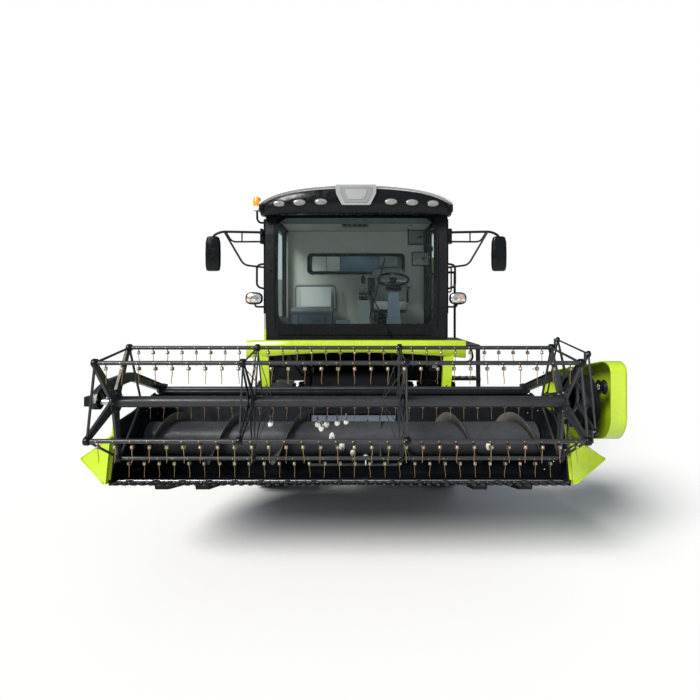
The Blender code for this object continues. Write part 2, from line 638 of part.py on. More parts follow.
def build_reel():
    y, z = REEL_CENTRE
    left, right = HEADER_X - REEL_HALF, HEADER_X + REEL_HALF
    shaft = rod((left - 0.02, y, z), (right + 0.02, y, z), 0.0475, 24)
    holes = [circle(bar_centre(i), BAR_RADIUS + 0.002, 12) for i in range(BARS)]
    outline_points = star(REEL_CENTRE, 0.085, 0.022, 0.036)
    spiders = [
        prism(outline_points, "x", HEADER_X + x - 0.006, HEADER_X + x + 0.006, holes) for x in SPIDERS
    ]
    node("reel_rotor", shaft, "dark_paint", spiders, origin=(HEADER_X, y, z))

    for index in range(BARS):
        build_tine_bar(index, left, right)

    ring_y, ring_z = y, z + ECCENTRIC
    x = right + 0.028
    ring = star((ring_y, ring_z), 0.18, 0.016, 0.026)
    hole = [circle((ring_y, ring_z), 0.135, 24)]
    hole += [circle((bar_centre(i)[0], bar_centre(i)[1] + ECCENTRIC), 0.011, 12) for i in range(BARS)]
    disc = prism(ring, "x", x - 0.005, x + 0.005, hole)
    node("eccentric_ring", disc, "dark_paint", origin=(x, ring_y, ring_z))


def build_tine_bar(index, left, right):
    y, z = bar_centre(index)
    bar = rod((left, y, z), (right, y, z), BAR_RADIUS, 12)
    pitch = (2 * REEL_HALF - 0.10) / TINES
    comb = [(left + 0.03, z - 0.005)]
    for k in range(TINES):
        x = left + 0.05 + pitch * (k + 0.5)
        comb += [(x - 0.004, z - 0.005), (x - 0.004, z - TINE_LENGTH), (x + 0.004, z - TINE_LENGTH),
                 (x + 0.004, z - 0.005)]
    comb += [(right - 0.03, z - 0.005), (right - 0.03, z + 0.005), (left + 0.03, z + 0.005)]
    tines = prism(comb, "y", y - 0.004, y + 0.004)
    crank = box((right - 0.005, y - 0.012, z - 0.010), (right + 0.006, y + 0.012, z + ECCENTRIC + 0.012))
    pin = rod((right + 0.001, y, z + ECCENTRIC), (right + 0.040, y, z + ECCENTRIC), 0.009, 12)
    node(f"tine_bar_{index + 1}", bar, "bright_steel", [tines, crank, pin], origin=(HEADER_X, y, z))


def build_reel_arms():
    y, z = REEL_CENTRE
    pivot = header_point(*REEL_PIVOT)
    arms = []
    for s in (-1, 1):
        x = HEADER_X + s * ARM_X
        arm = [(pivot[1] + 0.05, pivot[2] - 0.04), (pivot[1] + 0.05, pivot[2] + 0.05), (-2.9, 1.82),
               (-3.38, 1.80), (y - 0.06, z + 0.08), (y - 0.06, z - 0.06), (y + 0.06, z - 0.06),
               (y + 0.12, 1.70), (-2.9, 1.72)]
        arms.append(prism(arm, "x", x - 0.025, x + 0.025))
    torsion = rod((HEADER_X - ARM_X, *pivot[1:]), (HEADER_X + ARM_X, *pivot[1:]), 0.03, 16)
    stubs = [rod((HEADER_X + s * ARM_X, y, z), (HEADER_X + s * (REEL_HALF + 0.026), y, z), 0.03, 16)
             for s in (-1, 1)]
    node("reel_arms", arms[0], "dark_paint", [arms[1], torsion, *stubs], origin=pivot)


# ---------------------------------------------------------------- wheels

def tyre_profile(radius, width, rim):
    w = width / 2
    return [(rim + 0.001, -w * 0.80), (rim + 0.10 * (radius / 0.7), -w * 0.98), (radius * 0.86, -w),
            (radius * 0.97, -w * 0.86), (radius, -w * 0.5), (radius, w * 0.5), (radius * 0.97, w * 0.86),
            (radius * 0.86, w), (rim + 0.10 * (radius / 0.7), w * 0.98), (rim + 0.001, w * 0.80),
            (rim + 0.001, w * 0.62), (radius * 0.80, w * 0.80), (radius * 0.91, w * 0.66),
            (radius * 0.91, -w * 0.66), (radius * 0.80, -w * 0.80), (rim + 0.001, -w * 0.62)]


def rim_profile(radius, width, rim):
    w = width / 2
    return [(rim, -w * 0.82), (rim, w * 0.82), (rim - 0.02, w * 0.82), (rim - 0.03, w * 0.1),
            (0.17 * rim / 0.355, w * 0.1), (0.13 * rim / 0.355, w * 0.42), (0.03, w * 0.42),
            (0.03, -w * 0.05), (rim - 0.03, -w * 0.05), (rim - 0.02, -w * 0.82)]


def build_wheel(name, x, y, z, tyre, side):
    centre = (side * x, y, z)
    size = (tyre["radius"], tyre["width"], tyre["rim"])
    rubber = spun([(r, side * o) for r, o in tyre_profile(*size)], *centre)
    node(f"{name}_tyre", rubber, "tyre_rubber", origin=centre)
    disc = spun([(r, side * o) for r, o in rim_profile(*size)], *centre)
    node(f"{name}_rim", disc, "lime_paint", origin=centre)


def build_wheels():
    for side, word in ((1, "left"), (-1, "right")):
        build_wheel(f"front_{word}", FRONT_TYRE["x"], *FRONT_AXLE, FRONT_TYRE, side)
        build_wheel(f"rear_{word}", REAR_TYRE["x"], *REAR_AXLE, REAR_TYRE, side)


def build_steering():
    y, z = REAR_AXLE
    for s, word in ((1, "left"), (-1, "right")):
        pin = rod((s * KINGPIN_X, y, z - 0.09), (s * KINGPIN_X, y, z + 0.09), 0.055, 20)
        stub = rod((s * KINGPIN_X, y, z), (s * (REAR_TYRE["x"] - 0.02), y, z), 0.028, 16)
        flat = ((-0.05, 0.03), (0.03, 0.03), (-0.08, STEER_ARM), (-0.03, STEER_ARM + 0.03),
                (-0.08, STEER_ARM + 0.03))
        arm = hull([(s * (KINGPIN_X + a), y + b, z + c) for a, b in flat for c in (-0.03, 0.0)])
        node(f"steer_knuckle_{word}", pin, "iron", [stub, arm], origin=(s * KINGPIN_X, y, z))
    reach = KINGPIN_X - 0.06
    link = tube([(-reach, y + STEER_ARM, z - 0.055), (reach, y + STEER_ARM, z - 0.055)], 0.018)
    node("tie_rod", link, "bright_steel", origin=(reach, y + STEER_ARM, z - 0.055))


build_chassis()
build_threshing_body()
build_straw_hood()
build_rear_axle()
build_tank_and_hood()
build_side_panels()
build_unloader()
build_cab()
build_cab_door()
build_cab_roof()
build_cab_base()
build_front_band()
build_cab_interior()
build_platform()
build_mirrors()
build_header()
build_lift_cylinders()
build_auger()
build_reel()
build_reel_arms()
build_wheels()
build_steering()
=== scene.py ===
"""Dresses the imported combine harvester: materials, fine pieces, camera and light."""

import json
import math
import random

import bmesh
import bpy
from mathutils import Matrix, Vector


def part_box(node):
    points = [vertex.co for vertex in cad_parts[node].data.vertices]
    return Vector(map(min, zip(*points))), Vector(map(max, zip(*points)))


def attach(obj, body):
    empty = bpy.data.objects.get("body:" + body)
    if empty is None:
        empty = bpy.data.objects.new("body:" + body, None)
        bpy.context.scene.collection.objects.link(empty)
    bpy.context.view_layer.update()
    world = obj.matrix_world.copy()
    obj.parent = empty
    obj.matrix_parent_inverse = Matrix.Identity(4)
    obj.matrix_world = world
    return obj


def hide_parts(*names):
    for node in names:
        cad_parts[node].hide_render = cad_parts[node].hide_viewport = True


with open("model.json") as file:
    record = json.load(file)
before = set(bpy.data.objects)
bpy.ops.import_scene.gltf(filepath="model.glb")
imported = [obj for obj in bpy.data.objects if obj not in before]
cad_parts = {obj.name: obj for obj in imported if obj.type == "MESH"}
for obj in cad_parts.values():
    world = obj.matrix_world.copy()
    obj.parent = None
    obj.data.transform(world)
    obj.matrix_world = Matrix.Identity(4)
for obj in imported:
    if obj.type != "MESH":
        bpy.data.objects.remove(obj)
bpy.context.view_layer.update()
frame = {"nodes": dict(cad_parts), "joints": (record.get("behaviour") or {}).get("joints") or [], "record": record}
JOINTS = {joint["name"]: joint for joint in frame["joints"]}

# Places that the frame's joints and nodes give.
REEL = Vector(JOINTS["reel_spin"]["pos_m"])
RING = Vector(JOINTS["eccentric_spin"]["pos_m"])
RING.x = sum(corner.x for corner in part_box("eccentric_ring")) / 2
AUGER = Vector(JOINTS["auger_spin"]["pos_m"])
BARS = [Vector(JOINTS[f"tine_bar_{i}_turn"]["pos_m"]) for i in range(1, 6)]
BAR_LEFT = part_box("tine_bar_1")[0].x
BAR_RIGHT = REEL.x + (REEL.x - BAR_LEFT)
HEADER_X = REEL.x

# The header's half width, how far it is tipped up, and the knife's y and z.
HEADER_HALF = 1.975
HEADER_TILT = math.radians(13.5)
KNIFE = (-3.44, 0.93)

# ---------------------------------------------------------------- materials


def shader_nodes(name):
    """A new material with its node tree and shader."""
    material = bpy.data.materials.new(name)
    material.use_nodes = True
    tree = material.node_tree
    return material, tree, tree.nodes["Principled BSDF"]


def noise(tree, scale, detail=4.0, roughness=0.5):
    """An object-space noise texture."""
    where = tree.nodes.new("ShaderNodeTexCoord")
    texture = tree.nodes.new("ShaderNodeTexNoise")
    texture.inputs["Scale"].default_value = scale
    texture.inputs["Detail"].default_value = detail
    texture.inputs["Roughness"].default_value = roughness
    tree.links.new(where.outputs["Object"], texture.inputs["Vector"])
    return texture.outputs["Fac"]


def ramp(tree, value, stops):
    """A colour ramp over a value, from (position, colour) stops."""
    node = tree.nodes.new("ShaderNodeValToRGB")
    elements = node.color_ramp.elements
    while len(elements) < len(stops):
        elements.new(0.5)
    for element, (position, colour) in zip(elements, stops):
        element.position = position
        element.color = (*colour, 1.0)
    tree.links.new(value, node.inputs["Fac"])
    return node.outputs["Color"]


def bump(tree, shader, height, strength, distance):
    """A fine relief on a shader from a height value."""
    node = tree.nodes.new("ShaderNodeBump")
    node.inputs["Strength"].default_value = strength
    node.inputs["Distance"].default_value = distance
    tree.links.new(height, node.inputs["Height"])
    tree.links.new(node.outputs["Normal"], shader.inputs["Normal"])


def finish_material(name, colour, rough, metallic=0.0, mottle=0.12, scale=3.0, grain=60.0,
                    grain_strength=0.1, grain_depth=0.002, coat=0.0, glow=0.0, shine=0.5):
    """A painted, moulded or metal finish: uneven colour, uneven roughness and a fine grain."""
    material, tree, shader = shader_nodes(name)
    dark = tuple(c * (1 - mottle) for c in colour)
    light = tuple(min(1.0, c * (1 + mottle)) for c in colour)
    patch = noise(tree, scale, 6.0, 0.6)
    shade = ramp(tree, patch, [(0.3, dark), (0.7, light)])
    tree.links.new(shade, shader.inputs["Base Color"])
    low, high = max(0.02, rough - 0.08), min(1.0, rough + 0.10)
    spread = noise(tree, scale * 7, 3.0)
    tree.links.new(ramp(tree, spread, [(0.35, (low,) * 3), (0.65, (high,) * 3)]),
                   shader.inputs["Roughness"])
    shader.inputs["Metallic"].default_value = metallic
    shader.inputs["Specular IOR Level"].default_value = shine
    shader.inputs["Coat Weight"].default_value = coat
    shader.inputs["Coat Roughness"].default_value = 0.12
    if glow:
        tree.links.new(shade, shader.inputs["Emission Color"])
        shader.inputs["Emission Strength"].default_value = glow
    bump(tree, shader, noise(tree, grain, 2.0), grain_strength, grain_depth)
    return material


def glass_material(name, tint, see_through):
    """Thin tinted glass: mostly clear, with a sharp reflection."""
    material = bpy.data.materials.new(name)
    material.use_nodes = True
    tree = material.node_tree
    tree.nodes.clear()
    out = tree.nodes.new("ShaderNodeOutputMaterial")
    clear = tree.nodes.new("ShaderNodeBsdfTransparent")
    clear.inputs["Color"].default_value = (*tint, 1.0)
    shine = tree.nodes.new("ShaderNodeBsdfPrincipled")
    shine.inputs["Base Color"].default_value = (0.05, 0.06, 0.06, 1.0)
    shine.inputs["Roughness"].default_value = 0.03
    mix = tree.nodes.new("ShaderNodeMixShader")
    smudge = noise(tree, 2.0, 4.0)
    low, high = 1 - see_through, 1 - see_through + 0.04
    tree.links.new(ramp(tree, smudge, [(0.3, (low,) * 3), (0.7, (high,) * 3)]), mix.inputs["Fac"])
    tree.links.new(clear.outputs["BSDF"], mix.inputs[1])
    tree.links.new(shine.outputs["BSDF"], mix.inputs[2])
    tree.links.new(mix.outputs["Shader"], out.inputs["Surface"])
    return material


LIME = finish_material("lime_paint", (0.40, 0.56, 0.020), 0.28, mottle=0.05, grain=180, coat=0.5)
DARK = finish_material("dark_paint", (0.010, 0.011, 0.013), 0.36, mottle=0.25, grain=120, shine=0.15)
REEL_PAINT = finish_material("reel_paint", (0.026, 0.028, 0.032), 0.34, mottle=0.2, grain=140, shine=0.35)
BLUE_GREY = finish_material("blue_grey_paint", (0.10, 0.13, 0.17), 0.45, mottle=0.2, grain=90)
PAN = finish_material("trough_paint", (0.007, 0.008, 0.011), 0.36, mottle=0.3, scale=2.0, grain=60,
                      shine=0.15)
DRUM = finish_material("drum_paint", (0.060, 0.063, 0.070), 0.34, mottle=0.18, scale=2.5, grain=80, shine=0.3)
# The flights' paint is the drum's dark paint made lighter: a painted highlight standing in for the light the
# flights catch.
FLIGHT_PAINTED_HIGHLIGHT = finish_material("flight_painted_highlight", (0.10, 0.098, 0.093), 0.42, mottle=0.15, scale=4.0, grain=80)
GREY = finish_material("grey_paint", (0.30, 0.30, 0.29), 0.40, mottle=0.1, grain=90)
WHITE = finish_material("white_roof", (0.72, 0.72, 0.70), 0.35, mottle=0.04, grain=150, coat=0.3)
STEEL = finish_material("bright_steel", (0.50, 0.50, 0.51), 0.32, metallic=1.0, mottle=0.2, grain=200)
BRASS = finish_material("zinc_yellow", (0.30, 0.24, 0.10), 0.35, metallic=0.9, mottle=0.35, scale=9,
                        grain=300)
COPPER = finish_material("zinc_red", (0.30, 0.17, 0.10), 0.40, metallic=0.85, mottle=0.35, scale=9, grain=300)
IRON = finish_material("cast_iron", (0.045, 0.045, 0.048), 0.6, metallic=0.5, mottle=0.3, grain=50,
                       grain_strength=0.4)
RUBBER = finish_material("tyre_rubber", (0.020, 0.020, 0.020), 0.75, mottle=0.3, grain=40,
                         grain_strength=0.3)
PLASTIC = finish_material("dark_plastic", (0.004, 0.005, 0.006), 0.22, mottle=0.1, grain=300,
                          grain_strength=0.02, shine=0.22)
GUIDE = finish_material("white_nylon", (0.85, 0.84, 0.78), 0.5, mottle=0.06, grain=200)
LINING = finish_material("cab_lining", (0.62, 0.60, 0.54), 0.85, mottle=0.05, grain=220, grain_strength=0.2)
TRIM = finish_material("cab_trim", (0.20, 0.22, 0.23), 0.6, mottle=0.08, grain=220)
MAT_RUBBER = finish_material("floor_mat", (0.03, 0.03, 0.032), 0.8, mottle=0.2, grain=120)
FABRIC = finish_material("seat_fabric", (0.36, 0.37, 0.38), 0.9, mottle=0.15, grain=500, grain_strength=0.5)
AMBER = finish_material("amber_lens", (0.85, 0.28, 0.02), 0.2, mottle=0.1, grain=90, coat=0.6, glow=0.15)
RED = finish_material("red_lens", (0.55, 0.02, 0.02), 0.2, mottle=0.1, grain=90, coat=0.6)
LAMP = finish_material("lamp_reflector", (0.80, 0.80, 0.78), 0.15, metallic=0.9, mottle=0.25, scale=30,
                       grain=60)
LENS = finish_material("lamp_lens", (0.20, 0.20, 0.195), 0.30, mottle=0.35, scale=40, grain=90, coat=0.6)
MIRROR = finish_material("mirror_face", (0.80, 0.82, 0.83), 0.04, metallic=1.0, mottle=0.02, grain=20,
                         grain_strength=0.02)
BELT = finish_material("belt_rubber", (0.010, 0.010, 0.010), 0.7, mottle=0.2, grain=60, shine=0.1)
GLASS = glass_material("tinted_glass", (0.86, 0.90, 0.90), 0.93)
REAR_GLASS = finish_material("rear_glass", (0.30, 0.45, 0.56), 0.15, mottle=0.3, scale=2.0, grain=5,
                             grain_strength=0.02, coat=0.5)

SLOT_MATERIALS = {
    "lime_paint": LIME, "dark_paint": DARK, "grey_paint": GREY, "white_roof": WHITE,
    "bright_steel": STEEL, "iron": IRON, "tyre_rubber": RUBBER, "dark_plastic": PLASTIC,
    "seat_fabric": FABRIC, "tinted_glass": GLASS, }

# ---------------------------------------------------------------- mesh building


def rounded(points, radius, steps=5, closed=False):
    """The points of a path or outline with its corners rounded."""
    points = [Vector(p) for p in points]
    count = len(points)
    made = []
    for i, here in enumerate(points):
        if not closed and i in (0, count - 1):
            made.append(here)
            continue
        before, after = points[i - 1], points[(i + 1) % count]
        a, b = before - here, after - here
        reach = min(radius, a.length * 0.48, b.length * 0.48)
        start, end = here + a.normalized() * reach, here + b.normalized() * reach
        for k in range(steps + 1):
            t = k / steps
            made.append(start * (1 - t) ** 2 + here * 2 * t * (1 - t) + end * t ** 2)
    return made


def arc(centre, radius, start, end, steps):
    """Points of a flat arc, angles in degrees."""
    turns = [math.radians(start + (end - start) * k / steps) for k in range(steps + 1)]
    return [(centre[0] + radius * math.cos(t), centre[1] + radius * math.sin(t)) for t in turns]


def full_turn(count):
    """Angles that divide a circle."""
    return [2 * math.pi * k / count for k in range(count)]


def squared(value, power):
    """A sine or cosine raised to a power, which turns a circle into a rounded square."""
    return math.copysign(abs(value) ** power, value)


def oval_rings(centre, wide, tall, levels, power=1.0):
    """Rings about a lamp's middle, each from its share of the size and its distance ahead."""
    return [[(centre[0] + wide * size * squared(math.cos(t), power), centre[1] + ahead,
              centre[2] + tall * size * squared(math.sin(t), power)) for t in full_turn(28)]
            for size, ahead in levels]


ORDER = {"x": lambda u, v, w: (w, u, v), "y": lambda u, v, w: (u, w, v), "z": lambda u, v, w: (u, v, w)}


class Builder:
    """Collects shapes, each with its material, into one piece."""

    def __init__(self):
        """An empty piece."""
        self.work = bmesh.new()
        self.paints = []

    def paint_index(self, material):
        """The material's place in this piece's list."""
        if material not in self.paints:
            self.paints.append(material)
        return self.paints.index(material)

    def add_faces(self, loops, material):
        """Faces from loops of vertices, without the ones that collapse."""
        index = self.paint_index(material)
        for loop in loops:
            if len(set(loop)) > 2:
                self.work.faces.new(loop).material_index = index

    def skin(self, rings, material, ends=True, around=True):
        """Faces between rings of vertices that follow one another."""
        loops = []
        for a, b in zip(rings, rings[1:]):
            span = len(a) if around else len(a) - 1
            for k in range(span):
                n = (k + 1) % len(a)
                loops.append((a[k], a[n], b[n], b[k]))
        if ends:
            loops += [tuple(reversed(rings[0])), tuple(rings[-1])]
        self.add_faces(loops, material)

    def box(self, low, high, material, place=None):
        """A block between two corners, moved by a matrix if one is given."""
        low, high = Vector(low), Vector(high)
        corners = [Vector((x, y, z)) for z in (low.z, high.z)
                   for x, y in ((low.x, low.y), (high.x, low.y), (high.x, high.y), (low.x, high.y))]
        verts = [self.work.verts.new(place @ c if place else c) for c in corners]
        self.skin([verts[:4], verts[4:]], material)

    def tube(self, points, radius, material, sides=8, flat=1.0, end_radius=None):
        """A bar along a path; flat squashes it across its first side direction."""
        points = [Vector(p) for p in points]
        rings = []
        along = (points[1] - points[0]).normalized()
        side = along.cross(Vector((0, 0, 1)))
        side = side.normalized() if side.length > 0.1 else Vector((1, 0, 0))
        for i, here in enumerate(points):
            ahead = points[min(i + 1, len(points) - 1)] - points[max(i - 1, 0)]
            ahead = ahead.normalized()
            side = (side - ahead * side.dot(ahead)).normalized()
            up = ahead.cross(side)
            share = i / (len(points) - 1)
            size = radius if end_radius is None else radius + (end_radius - radius) * share
            rings.append([
                self.work.verts.new(here + size * (side * math.cos(t) * flat + up * math.sin(t)))
                for t in full_turn(sides)
            ])
        self.skin(rings, material)

    def lathe(self, profile, start, end, material, steps=24):
        """A turned shape about the line from start to end; profile is (radius, distance along)."""
        start, end = Vector(start), Vector(end)
        along = (end - start).normalized()
        side = along.cross(Vector((0, 0, 1)))
        side = side.normalized() if side.length > 0.1 else Vector((1, 0, 0))
        up = along.cross(side)
        rings = []
        for radius, far in profile:
            rings.append([
                self.work.verts.new(start + along * far + max(radius, 1e-5) * (
                    side * math.cos(t) + up * math.sin(t)))
                for t in full_turn(steps)
            ])
        self.skin(rings, material)

    def stub(self, radius, low, high, start, end, material, steps=24):
        """A plain pin or bolt head about the line from start to end, between two distances along it."""
        self.lathe([(radius, low), (radius, high)], start, end, material, steps)

    def rib(self, start, end, out, base, crest, height, material):
        """A pressed line on a panel: half as wide as base at its foot and as crest at its top."""
        start, end, out = Vector(start), Vector(end), Vector(out)
        across = (end - start).normalized().cross(out)
        self.hull([here + out * rise + across * wide * s for here in (start, end)
                   for rise, wide in ((-0.002, base), (height, crest)) for s in (-1, 1)], material)

    def block(self, outline, axis, low, high, material):
        """The tightest convex solid round an outline that is repeated at two levels along an axis."""
        self.hull([ORDER[axis](u, v, level) for level in (low, high) for u, v in outline], material)

    def outline_ring(self, outline, axis, level, lean):
        """Vertices of a flat outline at a level along an axis, each moved by lean if it is given."""
        spots = [Vector(ORDER[axis](p[0], p[1], level)) for p in outline]
        if lean:
            spots = [lean(spot) for spot in spots]
        return [self.work.verts.new(spot) for spot in spots]

    def slab(self, outline, axis, low, high, material):
        """A flat outline given thickness along an axis: (y, z) for x, (x, z) for y, (x, y) for z."""
        self.skin([self.outline_ring(outline, axis, level, None) for level in (low, high)], material)

    def border(self, outer, inner, axis, low, high, material, lean=None):
        """A flat ring between two outlines with as many points each."""
        rings = [self.outline_ring(outline, axis, level, lean)
                 for outline, level in ((outer, low), (outer, high), (inner, high), (inner, low))]
        self.skin(rings + rings[:1], material, ends=False)

    def grid(self, rows, material):
        """A sheet through rows of points."""
        verts = [[self.work.verts.new(p) for p in row] for row in rows]
        self.skin(verts, material, ends=False, around=False)

    def hull(self, points, material):
        """The tightest convex solid round some points."""
        index = self.paint_index(material)
        verts = [self.work.verts.new(p) for p in points]
        made = bmesh.ops.convex_hull(self.work, input=verts)
        for face in made["geom"]:
            if isinstance(face, bmesh.types.BMFace):
                face.material_index = index
        loose = [v for v in verts if not v.link_faces]
        bmesh.ops.delete(self.work, geom=loose, context="VERTS")

    def piece(self, name, body, replaces=(), bevel=0.0, sharp=38, thick=0.0):
        """Makes the object, lets it ride on its body and stand for its CAD nodes."""
        bmesh.ops.recalc_face_normals(self.work, faces=self.work.faces)
        mesh = bpy.data.meshes.new(name)
        self.work.to_mesh(mesh)
        self.work.free()
        for material in self.paints:
            mesh.materials.append(material)
        mesh.shade_smooth()
        mesh.set_sharp_from_angle(angle=math.radians(sharp))
        made = bpy.data.objects.new(name, mesh)
        bpy.context.scene.collection.objects.link(made)
        if thick:
            solid = made.modifiers.new("thickness", "SOLIDIFY")
            solid.thickness = thick
            solid.offset = 0
        if bevel:
            soften(made, bevel)
        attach(made, body)
        if replaces:
            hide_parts(*replaces)
        return made


def soften(thing, width):
    """Rounded edges."""
    edge = thing.modifiers.new("soft_edges", "BEVEL")
    edge.width = width
    edge.segments = 2
    edge.limit_method = "ANGLE"
    edge.angle_limit = math.radians(38)


def header_point(back, up, x=0.0):
    """A point of the tilted header from its distance behind and above the knife."""
    c, s = math.cos(HEADER_TILT), math.sin(HEADER_TILT)
    return Vector((x, KNIFE[0] + back * c + up * s, KNIFE[1] - back * s + up * c))


def dress_nodes():
    """Every CAD node takes the material of its slot, with softened edges."""
    special = {"header_trough": PAN, "header_auger": DRUM, "feeder_house": DARK, "reel_arms": REEL_PAINT,
               "eccentric_ring": REEL_PAINT, "passenger_bench": LINING, "side_console": LINING,
               "rear_window": REAR_GLASS}
    for entry in frame["record"]["subparts"]:
        name = entry["node"]
        node = frame["nodes"][name]
        node.data.materials.clear()
        node.data.materials.append(special.get(name, SLOT_MATERIALS[entry["material_slot"]]))
        if name not in ("windshield", "side_window", "rear_window", "door_glass"):
            soften(node, 0.004)


# ---------------------------------------------------------------- reel

# The reel arms' distance from the middle, the bars with their tines, and where the four spiders stand.
REEL_ARM_HALF = 2.05
BAR_RADIUS = 0.0175
TINES = 29
TINE_LENGTH = 0.165
TINE_PITCH = (BAR_RIGHT - BAR_LEFT - 0.10) / TINES
SPIDERS = (HEADER_X - 1.89, HEADER_X - 0.74, HEADER_X + 0.53, HEADER_X + 1.89)


def bar_direction(centre, bar):
    """The way out from a hub to a bar, and the way across it, in the plane of the reel's end."""
    out = Vector((0, bar.y - centre.y, bar.z - centre.z))
    reach = out.length
    out.normalize()
    return out, Vector((0, -out.z, out.y)), reach


def make_spider_arm(build, x, bar):
    """A tapered channel arm: a web with a lip along each edge."""
    out, side, reach = bar_direction(REEL, bar)
    hub = Vector((x, REEL.y, REEL.z))
    near, far = 0.055, reach - 0.02

    def spot(radial, across, dx):
        """A point of the arm from its distance out, across and along the reel."""
        return hub + out * radial + side * across + Vector((dx, 0, 0))

    build.hull([spot(r, w * s, dx) for r, w in ((near, 0.045), (far, 0.024)) for s in (-1, 1)
                for dx in (-0.003, 0.003)], REEL_PAINT)
    for s in (-1, 1):
        build.hull([spot(r, w * s + t, dx) for r, w in ((near + 0.02, 0.045), (far, 0.024))
                    for t in (-0.0025, 0.0025) for dx in (-0.020, 0.003)], REEL_PAINT)
    for radial in (0.10, 0.16):
        build.stub(0.008, -0.006, 0.004, spot(radial, 0, 0.002), spot(radial, 0, 0.1), STEEL, 6)


def make_thin_arm(build, x, bar):
    """The middle spiders' pair of flat bars from the tube to a bar."""
    out, side, reach = bar_direction(REEL, bar)
    hub = Vector((x, REEL.y, REEL.z))
    for dx in (-0.022, 0.022):
        shift = Vector((dx, 0, 0))
        build.hull([hub + out * r + side * w * s + shift * k + Vector((t, 0, 0))
                    for r, w, k in ((0.04, 0.030, 1.0), (reach - 0.02, 0.016, 0.35))
                    for s in (-1, 1) for t in (-0.0025, 0.0025)], REEL_PAINT)


def make_rotor():
    """The reel's tube with its four spiders, their rim rods and stays."""
    build = Builder()
    left, right = BAR_LEFT - 0.02, BAR_RIGHT + 0.02
    build.lathe([(0.04, 0), (0.0475, 0.004), (0.0475, right - left - 0.004), (0.04, right - left)],
                (left, REEL.y, REEL.z), (right, REEL.y, REEL.z), REEL_PAINT, 32)
    for x in SPIDERS:
        end = abs(x - HEADER_X) > 1.5
        rim = 0.105 if end else 0.075
        build.lathe([(rim - 0.004, -0.010), (rim, -0.006), (rim, 0.006), (rim - 0.004, 0.010)],
                    (x, REEL.y, REEL.z), (x + 1, REEL.y, REEL.z), REEL_PAINT, 24)
        for bar in BARS:
            (make_spider_arm if end else make_thin_arm)(build, x, bar)
            build.lathe([(0.0195, -0.02), (0.030, -0.02), (0.034, -0.014), (0.034, 0.014), (0.030, 0.02),
                         (0.0195, 0.02)], (x, bar.y, bar.z), (x + 1, bar.y, bar.z), PLASTIC, 16)
        for k in range(5):
            turn = math.radians(36 + 72 * k)
            spot = Vector((x, REEL.y + 0.082 * math.cos(turn), REEL.z + 0.082 * math.sin(turn)))
            if end:
                build.stub(0.009, -0.016, 0.016, spot, spot + Vector((1, 0, 0)), STEEL, 6)
        for bar, after in zip(BARS, BARS[1:] + BARS[:1]):
            make_rim_strut(build, x, bar, after, 0.011 if end else 0.007)
    for x, toward in ((SPIDERS[1], 1), (SPIDERS[2], -1)):
        for bar in BARS:
            out, _, reach = bar_direction(REEL, bar)
            start = Vector((x, REEL.y, REEL.z)) + out * (reach - 0.05)
            end = Vector((x + toward * 0.16, REEL.y, REEL.z)) + out * 0.045
            build.tube([start, end], 0.004, REEL_PAINT, 6)
    build.piece("reel_rotor_dressed", "reel", ["reel_rotor"])


def make_rim_strut(build, x, bar, after, radius):
    """A straight rod from one bar's bearing to the next."""
    a, b = Vector((x, bar.y, bar.z)), Vector((x, after.y, after.z))
    along = (b - a).normalized()
    build.tube([a + along * 0.028, b - along * 0.028], radius, REEL_PAINT, 8)


def make_tine_bar(number, bar, rng):
    """A reel bar with its clamps, its slightly bent tines, its crank and its pin."""
    build = Builder()
    length = BAR_RIGHT - BAR_LEFT
    build.lathe([(0.012, 0), (BAR_RADIUS, 0.004), (BAR_RADIUS, length - 0.004), (0.012, length)],
                (BAR_LEFT, bar.y, bar.z), (BAR_RIGHT, bar.y, bar.z), REEL_PAINT, 16)
    for k in range(TINES):
        x = BAR_LEFT + 0.05 + TINE_PITCH * (k + 0.5)
        metal = COPPER if rng.random() < 0.45 else BRASS
        drop = bar.z - BAR_RADIUS
        build.lathe([(0.006, 0), (0.0055, 0.003), (0.002, 0.005)], (x - 0.012, bar.y - 0.0165, bar.z),
                    (x - 0.012, bar.y - 1, bar.z), BRASS, 8)
        build.box((x - 0.004, bar.y - 0.0022, drop - 0.020), (x + 0.004, bar.y + 0.0022, drop + 0.006),
                  PLASTIC)
        turn = Matrix.Translation((x, bar.y, drop - 0.026)) @ Matrix.Rotation(rng.uniform(-0.5, 0.5), 4, "Z")
        build.box((-0.012, -0.011, -0.014), (0.012, 0.011, 0.012), metal, turn)
        build.lathe([(0.008, 0.0), (0.008, 0.006), (0.004, 0.008)], turn @ Vector((0, -0.011, 0)),
                    turn @ Vector((0, -1, 0)), STEEL, 6)
        sway, bend = rng.uniform(-0.006, 0.006), rng.uniform(-0.004, 0.004)
        foot = bar.z - TINE_LENGTH
        top = drop - 0.034
        wire = [(x + sway * t + bend * math.sin(t * math.pi * 2), bar.y + 0.003 * math.sin(t * 3),
                 top + (foot - top) * t) for t in (0, 0.2, 0.4, 0.6, 0.8, 1.0)]
        build.tube(wire, 0.0034, metal, 6, end_radius=0.0026)
    lift = RING.z - REEL.z
    build.hull([(BAR_RIGHT + dx, bar.y + w * s, bar.z + dz) for dx in (-0.004, 0.006)
                for s in (-1, 1) for w, dz in ((0.016, -0.012), (0.012, lift + 0.012))], REEL_PAINT)
    build.lathe([(0.008, 0), (0.009, 0.002), (0.009, 0.037), (0.008, 0.039)],
                (BAR_RIGHT + 0.001, bar.y, bar.z + lift), (BAR_RIGHT + 1, bar.y, bar.z + lift), STEEL, 12)
    build.piece(f"tine_bar_{number}_dressed", f"tines_{number}", [f"tine_bar_{number}"])


